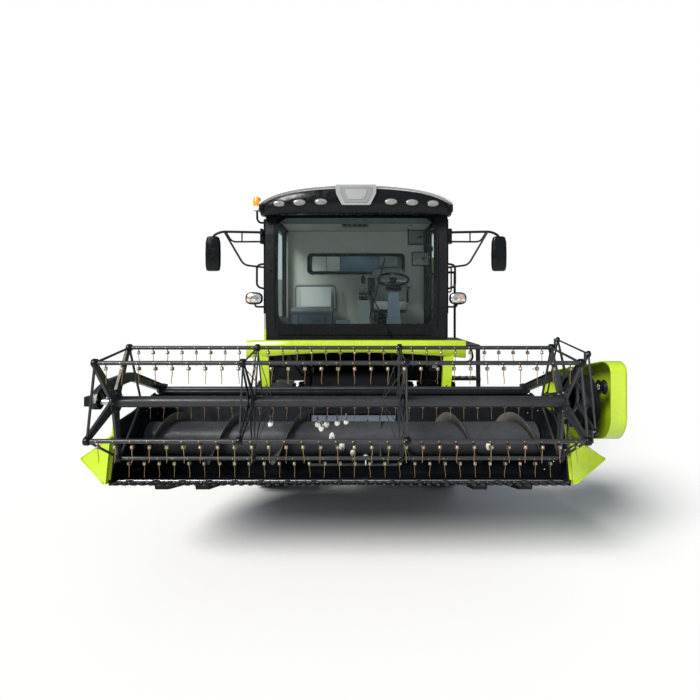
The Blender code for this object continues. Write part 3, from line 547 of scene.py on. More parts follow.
def make_eccentric():
    """The steering ring beside the reel's end: a ring, five rods and the struts between their eyes."""
    build = Builder()
    x = RING.x
    build.lathe([(0.135, -0.008), (0.160, -0.008), (0.160, 0.008), (0.135, 0.008), (0.135, -0.008)],
                (x, RING.y, RING.z), (x + 1, RING.y, RING.z), REEL_PAINT, 32)
    eyes = [Vector((x, bar.y, bar.z + RING.z - REEL.z)) for bar in BARS]
    for eye, after in zip(eyes, eyes[1:] + eyes[:1]):
        out, side, reach = bar_direction(RING, eye)
        hub = Vector((x, RING.y, RING.z))
        build.hull([hub + out * r + side * w * s + Vector((t, 0, 0))
                    for r, w in ((0.15, 0.022), (reach - 0.018, 0.012))
                    for s in (-1, 1) for t in (-0.004, 0.004)], REEL_PAINT)
        build.lathe([(0.0112, -0.010), (0.024, -0.010), (0.026, -0.006), (0.026, 0.006), (0.024, 0.010),
                     (0.0112, 0.010), (0.0112, -0.010)], eye, eye + Vector((1, 0, 0)), PLASTIC, 16)
        along = (after - eye).normalized()
        build.tube([eye + along * 0.024, after - along * 0.024], 0.008, REEL_PAINT, 8)
    build.piece("eccentric_dressed", "eccentric", ["eccentric_ring"])


def make_reel_arms():
    """The arms that carry the reel: bent channels from the header's beam over the reel's hubs."""
    build = Builder()
    pivot = Vector(JOINTS["reel_lift"]["pos_m"])
    x_left, x_right = HEADER_X - REEL_ARM_HALF, HEADER_X + REEL_ARM_HALF
    for x, s in ((x_left, -1), (x_right, 1)):
        top = rounded([(pivot.y + 0.06, pivot.z + 0.045, 0), (-2.90, 1.815, 0), (-3.36, 1.80, 0),
                       (REEL.y - 0.04, REEL.z + 0.09, 0), (REEL.y - 0.075, REEL.z, 0)], 0.10)
        low = rounded([(REEL.y - 0.05, REEL.z - 0.055, 0), (REEL.y + 0.05, REEL.z - 0.06, 0),
                       (REEL.y + 0.13, 1.70, 0), (-2.90, 1.725, 0), (pivot.y + 0.06, pivot.z - 0.04, 0)],
                      0.10)
        line = [p[:2] for p in top + low]
        build.slab(line, "x", x - 0.004, x + 0.004, REEL_PAINT)
        for edge in (top, low):
            rows = [[(x + dx, p[0], p[1]) for p in edge] for dx in (-0.024, 0.024)]
            build.grid(rows, REEL_PAINT)
        build.lathe([(0.045, -0.05), (0.062, -0.045), (0.066, -0.02), (0.066, 0.03), (0.05, 0.04)],
                    (x, REEL.y, REEL.z), (x + 1, REEL.y, REEL.z), PLASTIC, 24)
        build.box((x + s * 0.05 - 0.03, REEL.y - 0.06, REEL.z - 0.03),
                  (x + s * 0.05 + 0.03, REEL.y + 0.02, REEL.z + 0.05), PLASTIC)
        build.stub(0.028, 0, 0.13, (x, REEL.y, REEL.z), (HEADER_X, REEL.y, REEL.z), STEEL, 16)
        build.lathe([(0.03, -0.03), (0.045, -0.026), (0.045, 0.026), (0.03, 0.03)], (x, *pivot[1:]),
                    (x + 1, *pivot[1:]), REEL_PAINT, 20)
        for back in (0.25, 0.55, 0.85):
            spot = Vector((x + s * 0.004, -3.2 + back, 1.77))
            build.lathe([(0.010, 0), (0.010, 0.007), (0.004, 0.009)], spot, spot + Vector((s, 0, 0)),
                        STEEL, 6)
    build.stub(0.03, 0, x_right - x_left, (x_left, *pivot[1:]), (x_right, *pivot[1:]), REEL_PAINT, 20)
    build.piece("reel_arms_dressed", "reel_arms_body", ["reel_arms"])


# ---------------------------------------------------------------- header

# Radii of the auger, the sides of the belt cover, the pulleys' plane and the pitch of the knife's guards.
AUGER_DRUM, AUGER_FLIGHT = 0.165, 0.26
COVER_INNER, COVER_OUTER = 2.17, 2.43
PULLEY_X = 2.27
GUARD_PITCH = 0.0762
WALL_LEFT, WALL_RIGHT = HEADER_X - HEADER_HALF, HEADER_X + HEADER_HALF
FEEDER_TILT = Matrix.Rotation(-HEADER_TILT, 4, "X")


def make_flight(build, start, finish, top, hand, pitch=0.64, steps=36):
    """A screw flight along the drum that passes its top at x = top."""
    count = int(abs(finish - start) / pitch * steps)
    rows = []
    for radius in (AUGER_DRUM - 0.01, AUGER_FLIGHT - 0.004, AUGER_FLIGHT):
        row = []
        for k in range(count + 1):
            x = start + (finish - start) * k / count
            turn = math.pi / 2 + hand * (x - top) / pitch * 2 * math.pi
            row.append((x, AUGER.y + radius * math.cos(turn), AUGER.z + radius * math.sin(turn)))
        rows.append(row)
    # The flights take the lightened copy of the drum paint, a painted highlight.
    build.grid(rows, FLIGHT_PAINTED_HIGHLIGHT)


def make_finger(build, x, degrees):
    """A retracting finger with its white guide shell on the drum."""
    turn = math.radians(degrees)
    out = Vector((0, math.cos(turn), math.sin(turn)))
    along = Vector((0, -out.z, out.y))
    seat = Vector((x, AUGER.y, AUGER.z)) + out * AUGER_DRUM
    levels = ((1.0, 0.0), (1.0, 0.006), (0.75, 0.014), (0.45, 0.017))
    rings = []
    for size, height in levels:
        rings.append([build.work.verts.new(seat + out * height + along * 0.047 * size * math.cos(t)
                                           + Vector((0.026 * size * math.sin(t), 0, 0)))
                      for t in full_turn(16)])
    build.skin(rings, GUIDE)
    build.tube([seat, seat + out * 0.093], 0.0085, STEEL, 8)
    for s in (-1, 1):
        spot = seat + along * 0.026 * s + out * 0.008
        build.stub(0.005, 0, 0.006, spot, spot + out, BRASS, 6)


def make_auger():
    """The crop auger: a drum with two opposed flights, paddles, bands and fingers."""
    build = Builder()
    left, right = WALL_LEFT + 0.03, WALL_RIGHT - 0.03
    build.lathe([(0.12, 0), (AUGER_DRUM, 0.003), (AUGER_DRUM, right - left - 0.003), (0.12, right - left)],
                (left, AUGER.y, AUGER.z), (right, AUGER.y, AUGER.z), DRUM, 48)
    make_flight(build, left + 0.01, -0.50, -1.822, -1)
    make_flight(build, 0.42, right - 0.01, 0.95, 1)
    for x in (-1.40, -0.55, 0.36, 1.15):
        build.lathe([(AUGER_DRUM + 0.0015, -0.004), (AUGER_DRUM + 0.0015, 0.004)], (x, AUGER.y, AUGER.z),
                    (x + 1, AUGER.y, AUGER.z), DRUM, 48)
    for degrees in (100, 220, 340):
        turn = math.radians(degrees)
        out = Vector((0, math.cos(turn), math.sin(turn)))
        across = Vector((0, -out.z, out.y))
        seat = Vector((0.24, AUGER.y, AUGER.z)) + out * (AUGER_DRUM - 0.01)
        build.hull([seat + out * r + across * w * s + Vector((t, 0, 0)) for r, w in ((0, 0.09), (0.085, 0.02))
                    for s in (-1, 1) for t in (-0.004, 0.004)], DRUM)
    fingers = ((-0.853, 110), (-0.382, 112), (-0.343, 128), (-0.294, 112), (-0.186, 105), (-0.098, 98),
               (-0.235, 163), (-0.137, 192), (-0.03, 222), (0.10, 250), (1.30, 190), (0.12, 30),
               (-0.30, 330), (-0.05, 300), (-0.42, 20))
    for x, degrees in fingers:
        make_finger(build, x, degrees)
    build.piece("auger_dressed", "auger", ["header_auger"], thick=0.005)


def header_block(build, x, half, section, material):
    """A rib across the header, from a section of points behind and above the knife."""
    build.hull([header_point(b, u, x + w) for w in (-half, half) for b, u in section], material)


def make_knife():
    """Pointed guards with the knife's sections between them and the clips that hold it."""
    build = Builder()
    count = int((WALL_RIGHT - WALL_LEFT - 0.05) / GUARD_PITCH)
    first = HEADER_X - GUARD_PITCH * (count - 1) / 2
    for k in range(count):
        x = first + GUARD_PITCH * k
        wide, tip = 0.014, 0.004
        build.hull([header_point(b, u, x + w * s) for s in (-1, 1) for b, u, w in (
            (0.03, 0.008, wide), (0.03, -0.024, wide), (-0.055, 0.008, wide * 0.8),
            (-0.055, -0.022, wide * 0.8), (-0.115, -0.004, tip), (-0.115, -0.012, tip))], IRON)
        build.hull([header_point(b, u, x + GUARD_PITCH / 2 + w) for b, w in ((0.01, -0.034), (0.01, 0.034),
                    (-0.062, -0.006), (-0.062, 0.006)) for u in (0.003, 0.006)], STEEL)
        bolt = header_point(0.02, 0.008, x)
        build.stub(0.006, 0, 0.005, bolt, bolt + header_point(0, 1) - header_point(0, 0),
                    BRASS if k % 4 == 0 else STEEL, 6)
        if k % 3 == 1:
            header_block(build, x, 0.016, ((0.07, 0.002), (0.07, 0.012), (0.0, 0.016), (-0.03, 0.010),
                                           (-0.03, 0.005)), IRON)
    for b, u, r in ((0.075, 0.006, 0.006), (0.12, 0.006, 0.004)):
        build.tube([header_point(b, u, WALL_LEFT + 0.02), header_point(b, u, WALL_RIGHT - 0.02)], r, STEEL, 8)
    build.piece("knife_dressed", "header", ["cutter_bar"])


def make_trough_details():
    """Edges, bolts, bearings, ribs and tabs of the header's trough."""
    build = Builder()
    for x in (WALL_LEFT, WALL_RIGHT):
        s = 1 if x < HEADER_X else -1
        for u, v in (((0.04, 0.50), (0.34, 0.60)), ((0.34, 0.60), (0.80, 0.80)), ((0.02, 0.0), (0.04, 0.50))):
            build.tube([header_point(*u, x - s * 0.012), header_point(*v, x - s * 0.012)], 0.016, DARK, 8)
        for b, u in ((0.3, 0.15), (0.3, 0.45), (0.6, 0.62), (0.9, 0.6), (0.55, 0.06)):
            spot = header_point(b, u, x)
            build.stub(0.010, 0, 0.006, spot, spot + Vector((s, 0, 0)), STEEL, 6)
        build.lathe([(0.20, 0), (0.20, 0.008), (0.10, 0.02), (0.10, 0.028)], (x, AUGER.y, AUGER.z),
                    (x + s, AUGER.y, AUGER.z), DARK, 24)
    for x in (-1.80, -1.20, -0.75, 0.70, 1.25, 1.70):
        header_block(build, x, 0.015, ((1.0, 0.22), (1.012, 0.22), (1.0, 0.80), (1.012, 0.80),
                                       (0.995, 0.5)), PAN)
    for x in (-1.55, -0.62, 0.58, 1.55):
        header_block(build, x, 0.008, ((0.99, 0.70), (0.985, 0.82), (1.05, 0.82), (1.05, 0.70)), DARK)
    for u in (0.30, 0.745):
        build.tube([header_point(0.998, u, WALL_LEFT + 0.03), header_point(0.998, u, WALL_RIGHT - 0.03)],
                   0.006, PAN, 8)
    build.piece("header_details", "header", bevel=0.002)


def make_feeder_chain():
    """The slatted chain that shows in the header's mouth."""
    build = Builder()
    for row in range(7):
        b, u = 1.10 + 0.11 * row, 0.42 + 0.012 * row
        build.box((-0.47, 0, 0), (0.41, 0.03, 0.045), BLUE_GREY,
                  Matrix.Translation(header_point(b, u)) @ FEEDER_TILT)
        for x in (-0.35, -0.17, 0.01, 0.19, 0.33):
            build.box((x - 0.012, -0.006, -0.006), (x + 0.012, 0.036, 0.012), DARK,
                      Matrix.Translation(header_point(b, u)) @ FEEDER_TILT)
    for x in (-0.42, -0.03, 0.36):
        build.tube([header_point(1.05, 0.44, x), header_point(1.80, 0.52, x)], 0.012, IRON, 8)
    build.hull([header_point(b, u, x) for x in (-0.49, 0.43) for b, u in (
        (1.03, 0.50), (1.03, 0.585), (1.06, 0.585), (1.06, 0.50))], BLUE_GREY)
    build.piece("feeder_chain", "header")


def make_divider(s, side):
    """A crop divider: folded lime sheets that run out to a point beside the knife."""
    build = Builder()
    wall = (WALL_RIGHT if s > 0 else WALL_LEFT) + s * 0.0255
    tip = 2.20 if s > 0 else -2.43
    build.hull([(tip, -3.34, 1.09), (tip, -3.33, 1.105), (wall, -3.36, 0.90), (wall, -3.40, 1.30),
                (wall, -3.10, 1.36), (wall, -3.10, 0.86), (wall, -3.48, 0.925),
                (wall + s * 0.04, -3.46, 0.922), (wall + s * 0.10, -3.12, 0.90),
                (tip - s * 0.05, -3.10, 1.12)], LIME)
    for a, b in (((tip, -3.34, 1.10), (wall + s * 0.02, -3.475, 0.93)),
                 ((tip, -3.335, 1.105), (wall, -3.40, 1.30)),
                 ((tip - s * 0.16, -3.345, 1.07), (wall + s * 0.01, -3.43, 1.12))):
        build.tube([a, b], 0.006, LIME, 8)
    for y, z in ((-3.20, 1.25), (-3.20, 1.0), (-3.34, 1.12)):
        build.stub(0.010, 0, 0.006, (wall + s * 0.05, y, z), (wall + s, y, z), STEEL, 6)
    build.piece(f"divider_{side}_dressed", "header", [f"divider_{side}"], bevel=0.004)


def make_divider_trim():
    """The lime strips along the front edges of the header's end walls."""
    build = Builder()
    for s, wall in ((-1, WALL_LEFT - 0.026), (1, WALL_RIGHT + 0.026)):
        build.hull([(wall + w, *header_point(b, u)[1:]) for w in (-0.016, 0.020)
                    for b, u in ((0.0, 0.02), (0.02, 0.02), (0.0, 0.47), (0.02, 0.49))], LIME)
    build.piece("divider_trim", "header", bevel=0.003)


def make_belt_cover():
    """The deep lime cover of the header's drive, with its pulleys and belt."""
    build = Builder()
    line = [(-3.30, 1.38, 0), (-3.30, 1.90, 0), (-3.20, 1.955, 0), (-2.05, 1.70, 0), (-1.94, 1.60, 0),
            (-1.95, 1.10, 0), (-2.10, 0.98, 0), (-2.25, 0.985, 0), (-3.20, 1.24, 0)]
    outer = [p[:2] for p in rounded(line, 0.16, 8, closed=True)]
    centre = (sum(p[0] for p in outer) / len(outer), sum(p[1] for p in outer) / len(outer))
    inner = [(p[0] + (centre[0] - p[0]) * 0.010 / 0.5, p[1] + (centre[1] - p[1]) * 0.010 / 0.4)
             for p in outer]

    def taper(p):
        """The tray grows shallower towards its front."""
        share = min(1.0, max(0.0, (-2.2 - p.y) / 1.0))
        return Vector((p.x + (0.10 * share * share if p.x < 2.3 else 0.0), p.y, p.z))

    build.border(outer, inner, "x", COVER_INNER, COVER_OUTER - 0.02, LIME, lean=taper)
    build.slab(outer, "x", COVER_OUTER - 0.030, COVER_OUTER - 0.012, LIME)
    small = [(centre[0] + (p[0] - centre[0]) * 0.97, centre[1] + (p[1] - centre[1]) * 0.97) for p in outer]
    build.slab(small, "x", COVER_OUTER - 0.013, COVER_OUTER - 0.001, LIME)
    pulleys = ((-2.80, 1.50, 0.27), (-2.16, 1.36, 0.10), (-3.13, 1.70, 0.07))
    for y, z, radius in pulleys:
        profile = [(0.04, -0.03), (radius - 0.05, -0.012), (radius, -0.026), (radius - 0.02, 0),
                   (radius, 0.026), (radius - 0.05, 0.012), (0.04, 0.03)]
        build.lathe(profile, (PULLEY_X, y, z), (3, y, z), DARK, 40)
        for k in range(5):
            turn = math.radians(72 * k)
            spot = (2.235, y + radius * 0.28 * math.cos(turn), z + radius * 0.28 * math.sin(turn))
            build.stub(0.011, 0, 0.02, spot, (3, *spot[1:]), STEEL, 6)
    (y1, z1, r1), (y2, z2, r2) = pulleys[:2]
    lean = math.degrees(math.atan2(z2 - z1, y2 - y1))
    spread = math.degrees(math.acos((r1 - r2) / math.hypot(y2 - y1, z2 - z1)))
    loop = arc((y1, z1), r1, lean + spread, lean - spread + 360, 32)
    loop += arc((y2, z2), r2, lean - spread, lean + spread, 16)
    shrunk = [(y + (centre[0] - y) * 0.03, z + (centre[1] - z) * 0.03) for y, z in loop]
    build.border(loop, shrunk, "x", PULLEY_X - 0.012, PULLEY_X + 0.012, BELT)
    build.block(((-2.95, 1.36), (-2.90, 1.30), (-1.98, 1.42), (-1.98, 1.35)), "x", 2.16, 2.19, DARK)
    build.stub(0.012, 0, 0.02, (2.415, -3.20, 1.42), (2.415, -4.0, 1.42), STEEL, 8)
    build.piece("belt_cover_dressed", "header", ["belt_cover"], bevel=0.003)


def make_hoses():
    """Hydraulic hoses and cables on the header's beam and feeder house."""
    build = Builder()
    for x, rise in ((-0.62, 0.0), (-0.58, 0.02), (0.52, 0.01)):
        path = rounded([header_point(1.04, 0.76 + rise, x), header_point(1.14, 0.76 + rise, x),
                        header_point(1.35, 0.74, x * 0.98), header_point(1.70, 0.74, x * 0.97),
                        header_point(2.20, 0.76, x * 0.96)], 0.08, 8)
        build.tube(path, 0.013, BELT, 8)
    build.tube([header_point(1.04, 0.75, -1.95), header_point(1.04, 0.75, 1.70)], 0.011, BELT, 8)
    build.piece("header_hoses", "header")

# ---------------------------------------------------------------- cab

# Half widths of the cab, the band and the roof, the driver's line, and where the mirrors and rails stand.
CAB_HALF = 1.07
BAND_HALF = 1.30
ROOF_HALF = 1.125
MIRROR_X, MIRROR_Y = 1.70, -1.82
RAIL_X, RAIL_Y = 1.09, -1.79
SEAT_X = 0.47


def crown(x):
    """Height of the roof's top above a distance from the middle."""
    return 3.862 - 0.075 * abs(x / 0.9) ** 2.2 - 0.055 * abs(x / 1.12) ** 8


def brow(x):
    """How far forward the visor stands at a distance from the middle."""
    return -2.10 + 0.13 * abs(x / 1.12) ** 4


def windshield_y(z):
    """The windshield's gentle bulge."""
    return -1.895 + 0.16 * ((z - 2.86) / 0.75) ** 2 * 0.6


def make_loft(build, sections, material):
    """A closed skin through rings of points."""
    rings = [[build.work.verts.new(p) for p in ring] for ring in sections]
    build.skin(rings, material)


def make_roof():
    """The white cap over a dark visor, with its lamps, badge and gutters."""
    build = Builder()
    columns = [ROOF_HALF * (k / 20 - 1) for k in range(41)]
    cap = []
    for x in columns:
        top = crown(x)
        cap.append([(x, brow(x) + 0.030, top - 0.060), (x, brow(x) + 0.006, top - 0.045),
                    (x, brow(x) + 0.020, top - 0.022), (x, brow(x) + 0.10, top - 0.002),
                    (x, -1.2, top + 0.004), (x, -0.36, top - 0.01),
                    (x, -0.29, top - 0.05), (x, -0.27, 3.63), (x, -1.0, 3.63), (x, brow(x) + 0.08, 3.63)])
    make_loft(build, cap, WHITE)
    visor = []
    for x in columns:
        top = crown(x) - 0.062
        front = brow(x)
        visor.append([(x * 0.995, front + 0.06, top), (x * 0.995, front + 0.022, top - 0.012),
                      (x * 0.995, front + 0.004, top - 0.05), (x * 0.995, front, (top + 3.53) / 2),
                      (x * 0.99, front + 0.012, 3.53), (x * 0.985, front + 0.03, 3.505),
                      (x * 0.98, front + 0.10, 3.50), (x * 0.98, front + 0.10, 3.60)])
    make_loft(build, visor, PLASTIC)
    for x in (-0.876, -0.643, -0.398, 0.398, 0.637, 0.876):
        make_roof_lamp(build, x, 3.640 - 0.020 * abs(x) / 0.876)
    make_badge(build)
    for s in (-1, 1):
        build.block(((-2.0, 3.62), (-0.30, 3.62), (-2.0, 3.54), (-0.30, 3.54)), "x", s * 1.07, s * 1.12,
                    PLASTIC)
    build.box((-1.0, -0.34, 3.50), (1.0, -0.28, 3.62), PLASTIC)
    build.piece("roof_dressed", "machine", ["cab_roof"], bevel=0.003)


def make_roof_lamp(build, x, z):
    """An oval work lamp set into the visor."""
    y = brow(x)
    for wide, tall, levels, material in (
            (0.080, 0.046, ((1.0, 0.012), (1.0, -0.008), (0.90, -0.010), (0.88, 0.0)), DARK),
            (0.070, 0.037, ((1.0, 0.006), (0.98, -0.004), (0.80, -0.010), (0.4, -0.013)), LENS)):
        make_loft(build, oval_rings((x, y, z), wide, tall, levels), material)


def make_badge(build):
    """The light grey plate in the middle of the visor, left blank."""
    outer = [(-0.235, 3.812), (-0.215, 3.822), (0.215, 3.822), (0.235, 3.812), (0.225, 3.72), (0.165, 3.600),
             (0.15, 3.592), (-0.15, 3.592), (-0.165, 3.600), (-0.225, 3.72)]
    inner = [(x * 0.80, 3.712 + (z - 3.712) * 0.78) for x, z in outer]
    build.slab(outer, "y", -2.125, -2.06, GREY)
    build.slab(inner, "y", -2.130, -2.10, TRIM)
    core = [(x * 0.52, 3.712 + (z - 3.712) * 0.5) for x, z in outer]
    build.slab(core, "y", -2.134, -2.10, GREY)


def rounded_window(half, low, high, radius, steps=8, side=10):
    """A window's outline with rounded corners and points along its sides."""
    corners = ((half, high, 0), (-half, high, 90), (-half, low, 180), (half, low, 270))
    points = []
    for x, z, start in corners:
        cx = x - math.copysign(radius, x)
        cz = z - radius if z == high else z + radius
        points += arc((cx, cz), radius, start, start + 90, steps)
    made = []
    for a, b in zip(points, points[1:] + points[:1]):
        made.append(a)
        if math.hypot(b[0] - a[0], b[1] - a[1]) > 0.2:
            made += [(a[0] + (b[0] - a[0]) * k / side, a[1] + (b[1] - a[1]) * k / side)
                     for k in range(1, side)]
    return made


def make_windshield_border():
    """The black rim printed round the windshield, the seal and the wiper."""
    build = Builder()
    outer = rounded_window(0.955, 2.075, 3.530, 0.10)
    inner = rounded_window(0.915, 2.235, 3.495, 0.12)
    build.border(outer, inner, "y", 0.0, 0.006, PLASTIC,
                lean=lambda p: Vector((p.x, windshield_y(p.z) - 0.010 + p.y, p.z)))
    seal = rounded_window(0.962, 2.068, 3.537, 0.105)
    seal_path = [(x, windshield_y(z) - 0.006, z) for x, z in seal]
    build.tube(seal_path + seal_path[:1], 0.010, BELT, 8)
    pivot = (0.40, windshield_y(2.12) - 0.02, 2.12)
    build.lathe([(0.022, 0), (0.022, 0.02), (0.012, 0.035)], pivot, (pivot[0], pivot[1] - 1, pivot[2]),
                PLASTIC, 16)
    arm = [pivot, (0.32, windshield_y(2.3) - 0.035, 2.30), (0.16, windshield_y(2.55) - 0.03, 2.62)]
    build.tube(rounded(arm, 0.1), 0.007, PLASTIC, 8)
    blade = [(0.16 + 0.18 * t, windshield_y(2.62 + 0.5 * t) - 0.02, 2.30 + 0.72 * t)
             for t in (0, 0.25, 0.5, 0.75, 1)]
    build.tube(blade, 0.008, BELT, 6, flat=0.5)
    for x in (-1.0, 1.0):
        for z in (2.20, 2.86, 3.42):
            build.stub(0.012, 0, 0.006, (x, windshield_y(z) - 0.002, z), (x, -3, z), PLASTIC, 8)
    build.piece("windshield_border", "machine")


def make_lining():
    """Pale panels inside the cab, its mat, vents, blind and rear window frame."""
    build = Builder()
    build.box((-1.0, -1.72, 3.555), (1.0, -0.40, 3.568), LINING)
    build.block(((-1.72, 3.44), (-1.60, 3.50), (-1.60, 3.556), (-1.75, 3.556)), "x", -0.9, 0.9, TRIM)
    for low, high in (((-1.0, -0.415, 2.06), (1.0, -0.402, 2.93)),
                      ((-1.0, -0.415, 3.21), (1.0, -0.402, 3.55)),
                      ((-1.0, -0.415, 2.93), (-0.70, -0.402, 3.21)),
                      ((0.70, -0.415, 2.93), (1.0, -0.402, 3.21))):
        build.box(low, high, LINING)
    outer = rounded_window(0.72, 2.915, 3.225, 0.07)
    inner = rounded_window(0.675, 2.955, 3.185, 0.06)
    build.border(outer, inner, "y", -0.425, -0.400, PLASTIC)
    build.box((-1.0, -1.70, 2.051), (1.0, -0.45, 2.062), MAT_RUBBER)
    build.box((-0.19, -1.10, 3.535), (0.17, -0.90, 3.556), TRIM)
    for k in range(5):
        build.box((-0.17 + 0.066 * k, -1.11, 3.528), (-0.13 + 0.066 * k, -0.93, 3.540), PLASTIC)
    build.box((-1.005, -0.54, 2.10), (-0.995, -0.41, 3.52), LINING)
    build.box((-1.005, -1.74, 2.10), (-0.995, -1.67, 3.52), LINING)
    build.box((-1.005, -1.67, 2.07), (-0.995, -0.54, 2.29), LINING)
    for y in (-1.30, -0.95, -0.62):
        build.lathe([(0.02, 0), (0.03, 0.006), (0.015, 0.012)], (0.75, y, 3.555), (0.75, y, 3), TRIM, 16)
    build.box((-0.64, -0.44, 2.965), (-0.44, -0.437, 3.175), GUIDE)
    build.box((-0.43, -0.44, 2.965), (-0.24, -0.437, 3.175), GUIDE)
    build.box((0.955, -1.70, 2.07), (1.0, -1.62, 3.50), PLASTIC)
    build.box((-1.0, -1.74, 2.07), (-0.955, -1.66, 3.50), PLASTIC)
    build.box((-0.98, -1.74, 2.06), (0.98, -1.66, 2.235), PLASTIC)
    build.piece("cab_lining", "machine", bevel=0.004)


def make_seat():
    """The driver's seat: padded cushion, back, headrest and arms on a pedestal."""
    for name, low, high, bulge in (
            ("seat_cushion", (SEAT_X - 0.245, -1.00, 2.39), (SEAT_X + 0.245, -0.55, 2.52), 0.04),
            ("seat_back", (SEAT_X - 0.235, -0.60, 2.52), (SEAT_X + 0.235, -0.48, 3.00), 0.03),
            ("seat_headrest", (SEAT_X - 0.13, -0.57, 3.01), (SEAT_X + 0.13, -0.48, 3.17), 0.02)):
        cushion = make_cushion(name, Vector(low), Vector(high), bulge)
    build = Builder()
    build.hull([(SEAT_X + s * w, y, z) for s in (-1, 1) for w, z, y in (
        (0.17, 2.064, -0.92), (0.17, 2.064, -0.58), (0.20, 2.10, -0.92), (0.20, 2.10, -0.58))], PLASTIC)
    for k in range(5):
        z = 2.11 + 0.05 * k
        build.box((SEAT_X - 0.18 + 0.008 * k, -0.89, z), (SEAT_X + 0.18 - 0.008 * k, -0.61, z + 0.03), BELT)
    build.box((SEAT_X - 0.21, -0.96, 2.355), (SEAT_X + 0.21, -0.58, 2.392), PLASTIC)
    for s in (-1, 1):
        x = SEAT_X + s * 0.275
        build.tube(rounded([(x, -0.56, 2.50), (x, -0.56, 2.70), (x, -0.90, 2.71)], 0.05), 0.016, PLASTIC, 10)
        build.box((x - 0.035, -0.93, 2.715), (x + 0.035, -0.62, 2.745), FABRIC)
        build.tube([(SEAT_X + s * 0.07, -0.52, 2.98), (SEAT_X + s * 0.07, -0.52, 3.04)], 0.007, STEEL, 8)
    build.piece("seat_base", "machine", bevel=0.006)


def make_cushion(name, low, high, bulge):
    """A soft block with rounded edges and swelling faces."""
    work = bmesh.new()
    bmesh.ops.create_cube(work, size=1)
    bmesh.ops.subdivide_edges(work, edges=work.edges, cuts=7, use_grid_fill=True)
    middle, size = (low + high) / 2, high - low
    for vert in work.verts:
        p = vert.co * 2
        shape = [p.x, p.y, p.z]
        for k in range(3):
            a, b = shape[(k + 1) % 3], shape[(k + 2) % 3]
            shape[k] *= 1 - 0.055 * (a * a + b * b)
        swell = 1 + bulge * (1 - min(1, p.x * p.x)) * (1 - min(1, p.y * p.y)) * 2
        vert.co = middle + Vector((shape[0] * size.x / 2, shape[1] * size.y / 2,
                                   shape[2] * size.z / 2 * min(swell, 1.0 + bulge)))
    mesh = bpy.data.meshes.new(name)
    work.to_mesh(mesh)
    work.free()
    mesh.materials.append(FABRIC)
    mesh.shade_smooth()
    cushion = bpy.data.objects.new(name, mesh)
    bpy.context.scene.collection.objects.link(cushion)
    smooth = cushion.modifiers.new("soft", "SUBSURF")
    smooth.levels = smooth.render_levels = 1
    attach(cushion, "machine")
    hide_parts("driver_seat")
    return cushion


def seat_line_block(build, points, material):
    """A convex solid symmetric about the driver's line, from (half width, y, z) points."""
    build.hull([(SEAT_X + s * w, y, z) for s in (-1, 1) for w, y, z in points], material)


def make_steering_column():
    """The column, its cowl and pedals, and the steering wheel."""
    build = Builder()
    seat_line_block(build, ((0.10, -1.68, 2.062), (0.10, -1.46, 2.062), (0.085, -1.62, 2.30),
                            (0.085, -1.46, 2.30)), BLUE_GREY)
    seat_line_block(build, ((0.080, -1.61, 2.30), (0.080, -1.47, 2.30), (0.060, -1.53, 2.68),
                            (0.060, -1.43, 2.68)), BLUE_GREY)
    seat_line_block(build, ((0.10, -1.56, 2.64), (0.10, -1.44, 2.66), (0.085, -1.52, 2.74),
                            (0.085, -1.42, 2.74)), PLASTIC)
    place = Matrix.Translation((SEAT_X, -1.43, 2.79)) @ Matrix.Rotation(math.radians(25), 4, "X")
    ring = [place @ Vector((0.195 * math.cos(t), 0.195 * math.sin(t), 0)) for t in
            (2 * math.pi * k / 40 for k in range(41))]
    build.tube(ring, 0.015, PLASTIC, 10)
    for degrees in (90, 210, 330):
        t = math.radians(degrees)
        build.tube([place @ Vector((0.03 * math.cos(t), 0.03 * math.sin(t), -0.015)),
                    place @ Vector((0.19 * math.cos(t), 0.19 * math.sin(t), 0))], 0.011, TRIM, 8, flat=1.6)
    build.lathe([(0.02, -0.05), (0.05, -0.03), (0.055, 0.0), (0.045, 0.018), (0.01, 0.022)],
                place.translation, place @ Vector((0, 0, 1)), PLASTIC, 24)
    for s in (-1, 1):
        build.tube([(SEAT_X + s * 0.07, -1.47, 2.70), (SEAT_X + s * 0.19, -1.48, 2.74)], 0.007, PLASTIC, 8)
        build.hull([(SEAT_X + s * 0.20 + dx, y, z) for dx in (-0.04, 0.04) for y, z in (
            (-1.66, 2.10), (-1.60, 2.10), (-1.56, 2.24), (-1.53, 2.22))], PLASTIC)
    build.piece("steering_dressed", "machine", ["steering_column"], bevel=0.006)


def make_console():
    """The arm console beside the seat, with switches and the driving lever."""
    build = Builder()
    build.block(((-1.08, 2.062), (-0.62, 2.062), (-1.10, 2.50), (-0.62, 2.62), (-0.90, 2.62)), "x", 0.03,
                0.185, TRIM)
    build.block(((-1.06, 2.53), (-0.64, 2.622), (-0.88, 2.635)), "x", 0.04, 0.175, PLASTIC)
    for k, (x, y) in enumerate(((0.07, -0.98), (0.11, -0.98), (0.15, -0.98), (0.09, -0.90), (0.14, -0.90))):
        build.lathe([(0.012, 0), (0.012, 0.012), (0.006, 0.018)], (x, y, 2.58), (x, y, 3),
                    RED if k == 0 else TRIM, 12)
    build.tube(rounded([(0.10, -0.80, 2.62), (0.10, -0.83, 2.74), (0.10, -0.86, 2.80)], 0.05), 0.010,
               STEEL, 8)
    build.lathe([(0.018, 0), (0.030, 0.02), (0.032, 0.07), (0.020, 0.11), (0.006, 0.115)],
                (0.10, -0.85, 2.76), (0.10, -0.87, 2.96), PLASTIC, 16)
    build.piece("console_dressed", "machine", ["side_console"], bevel=0.006)


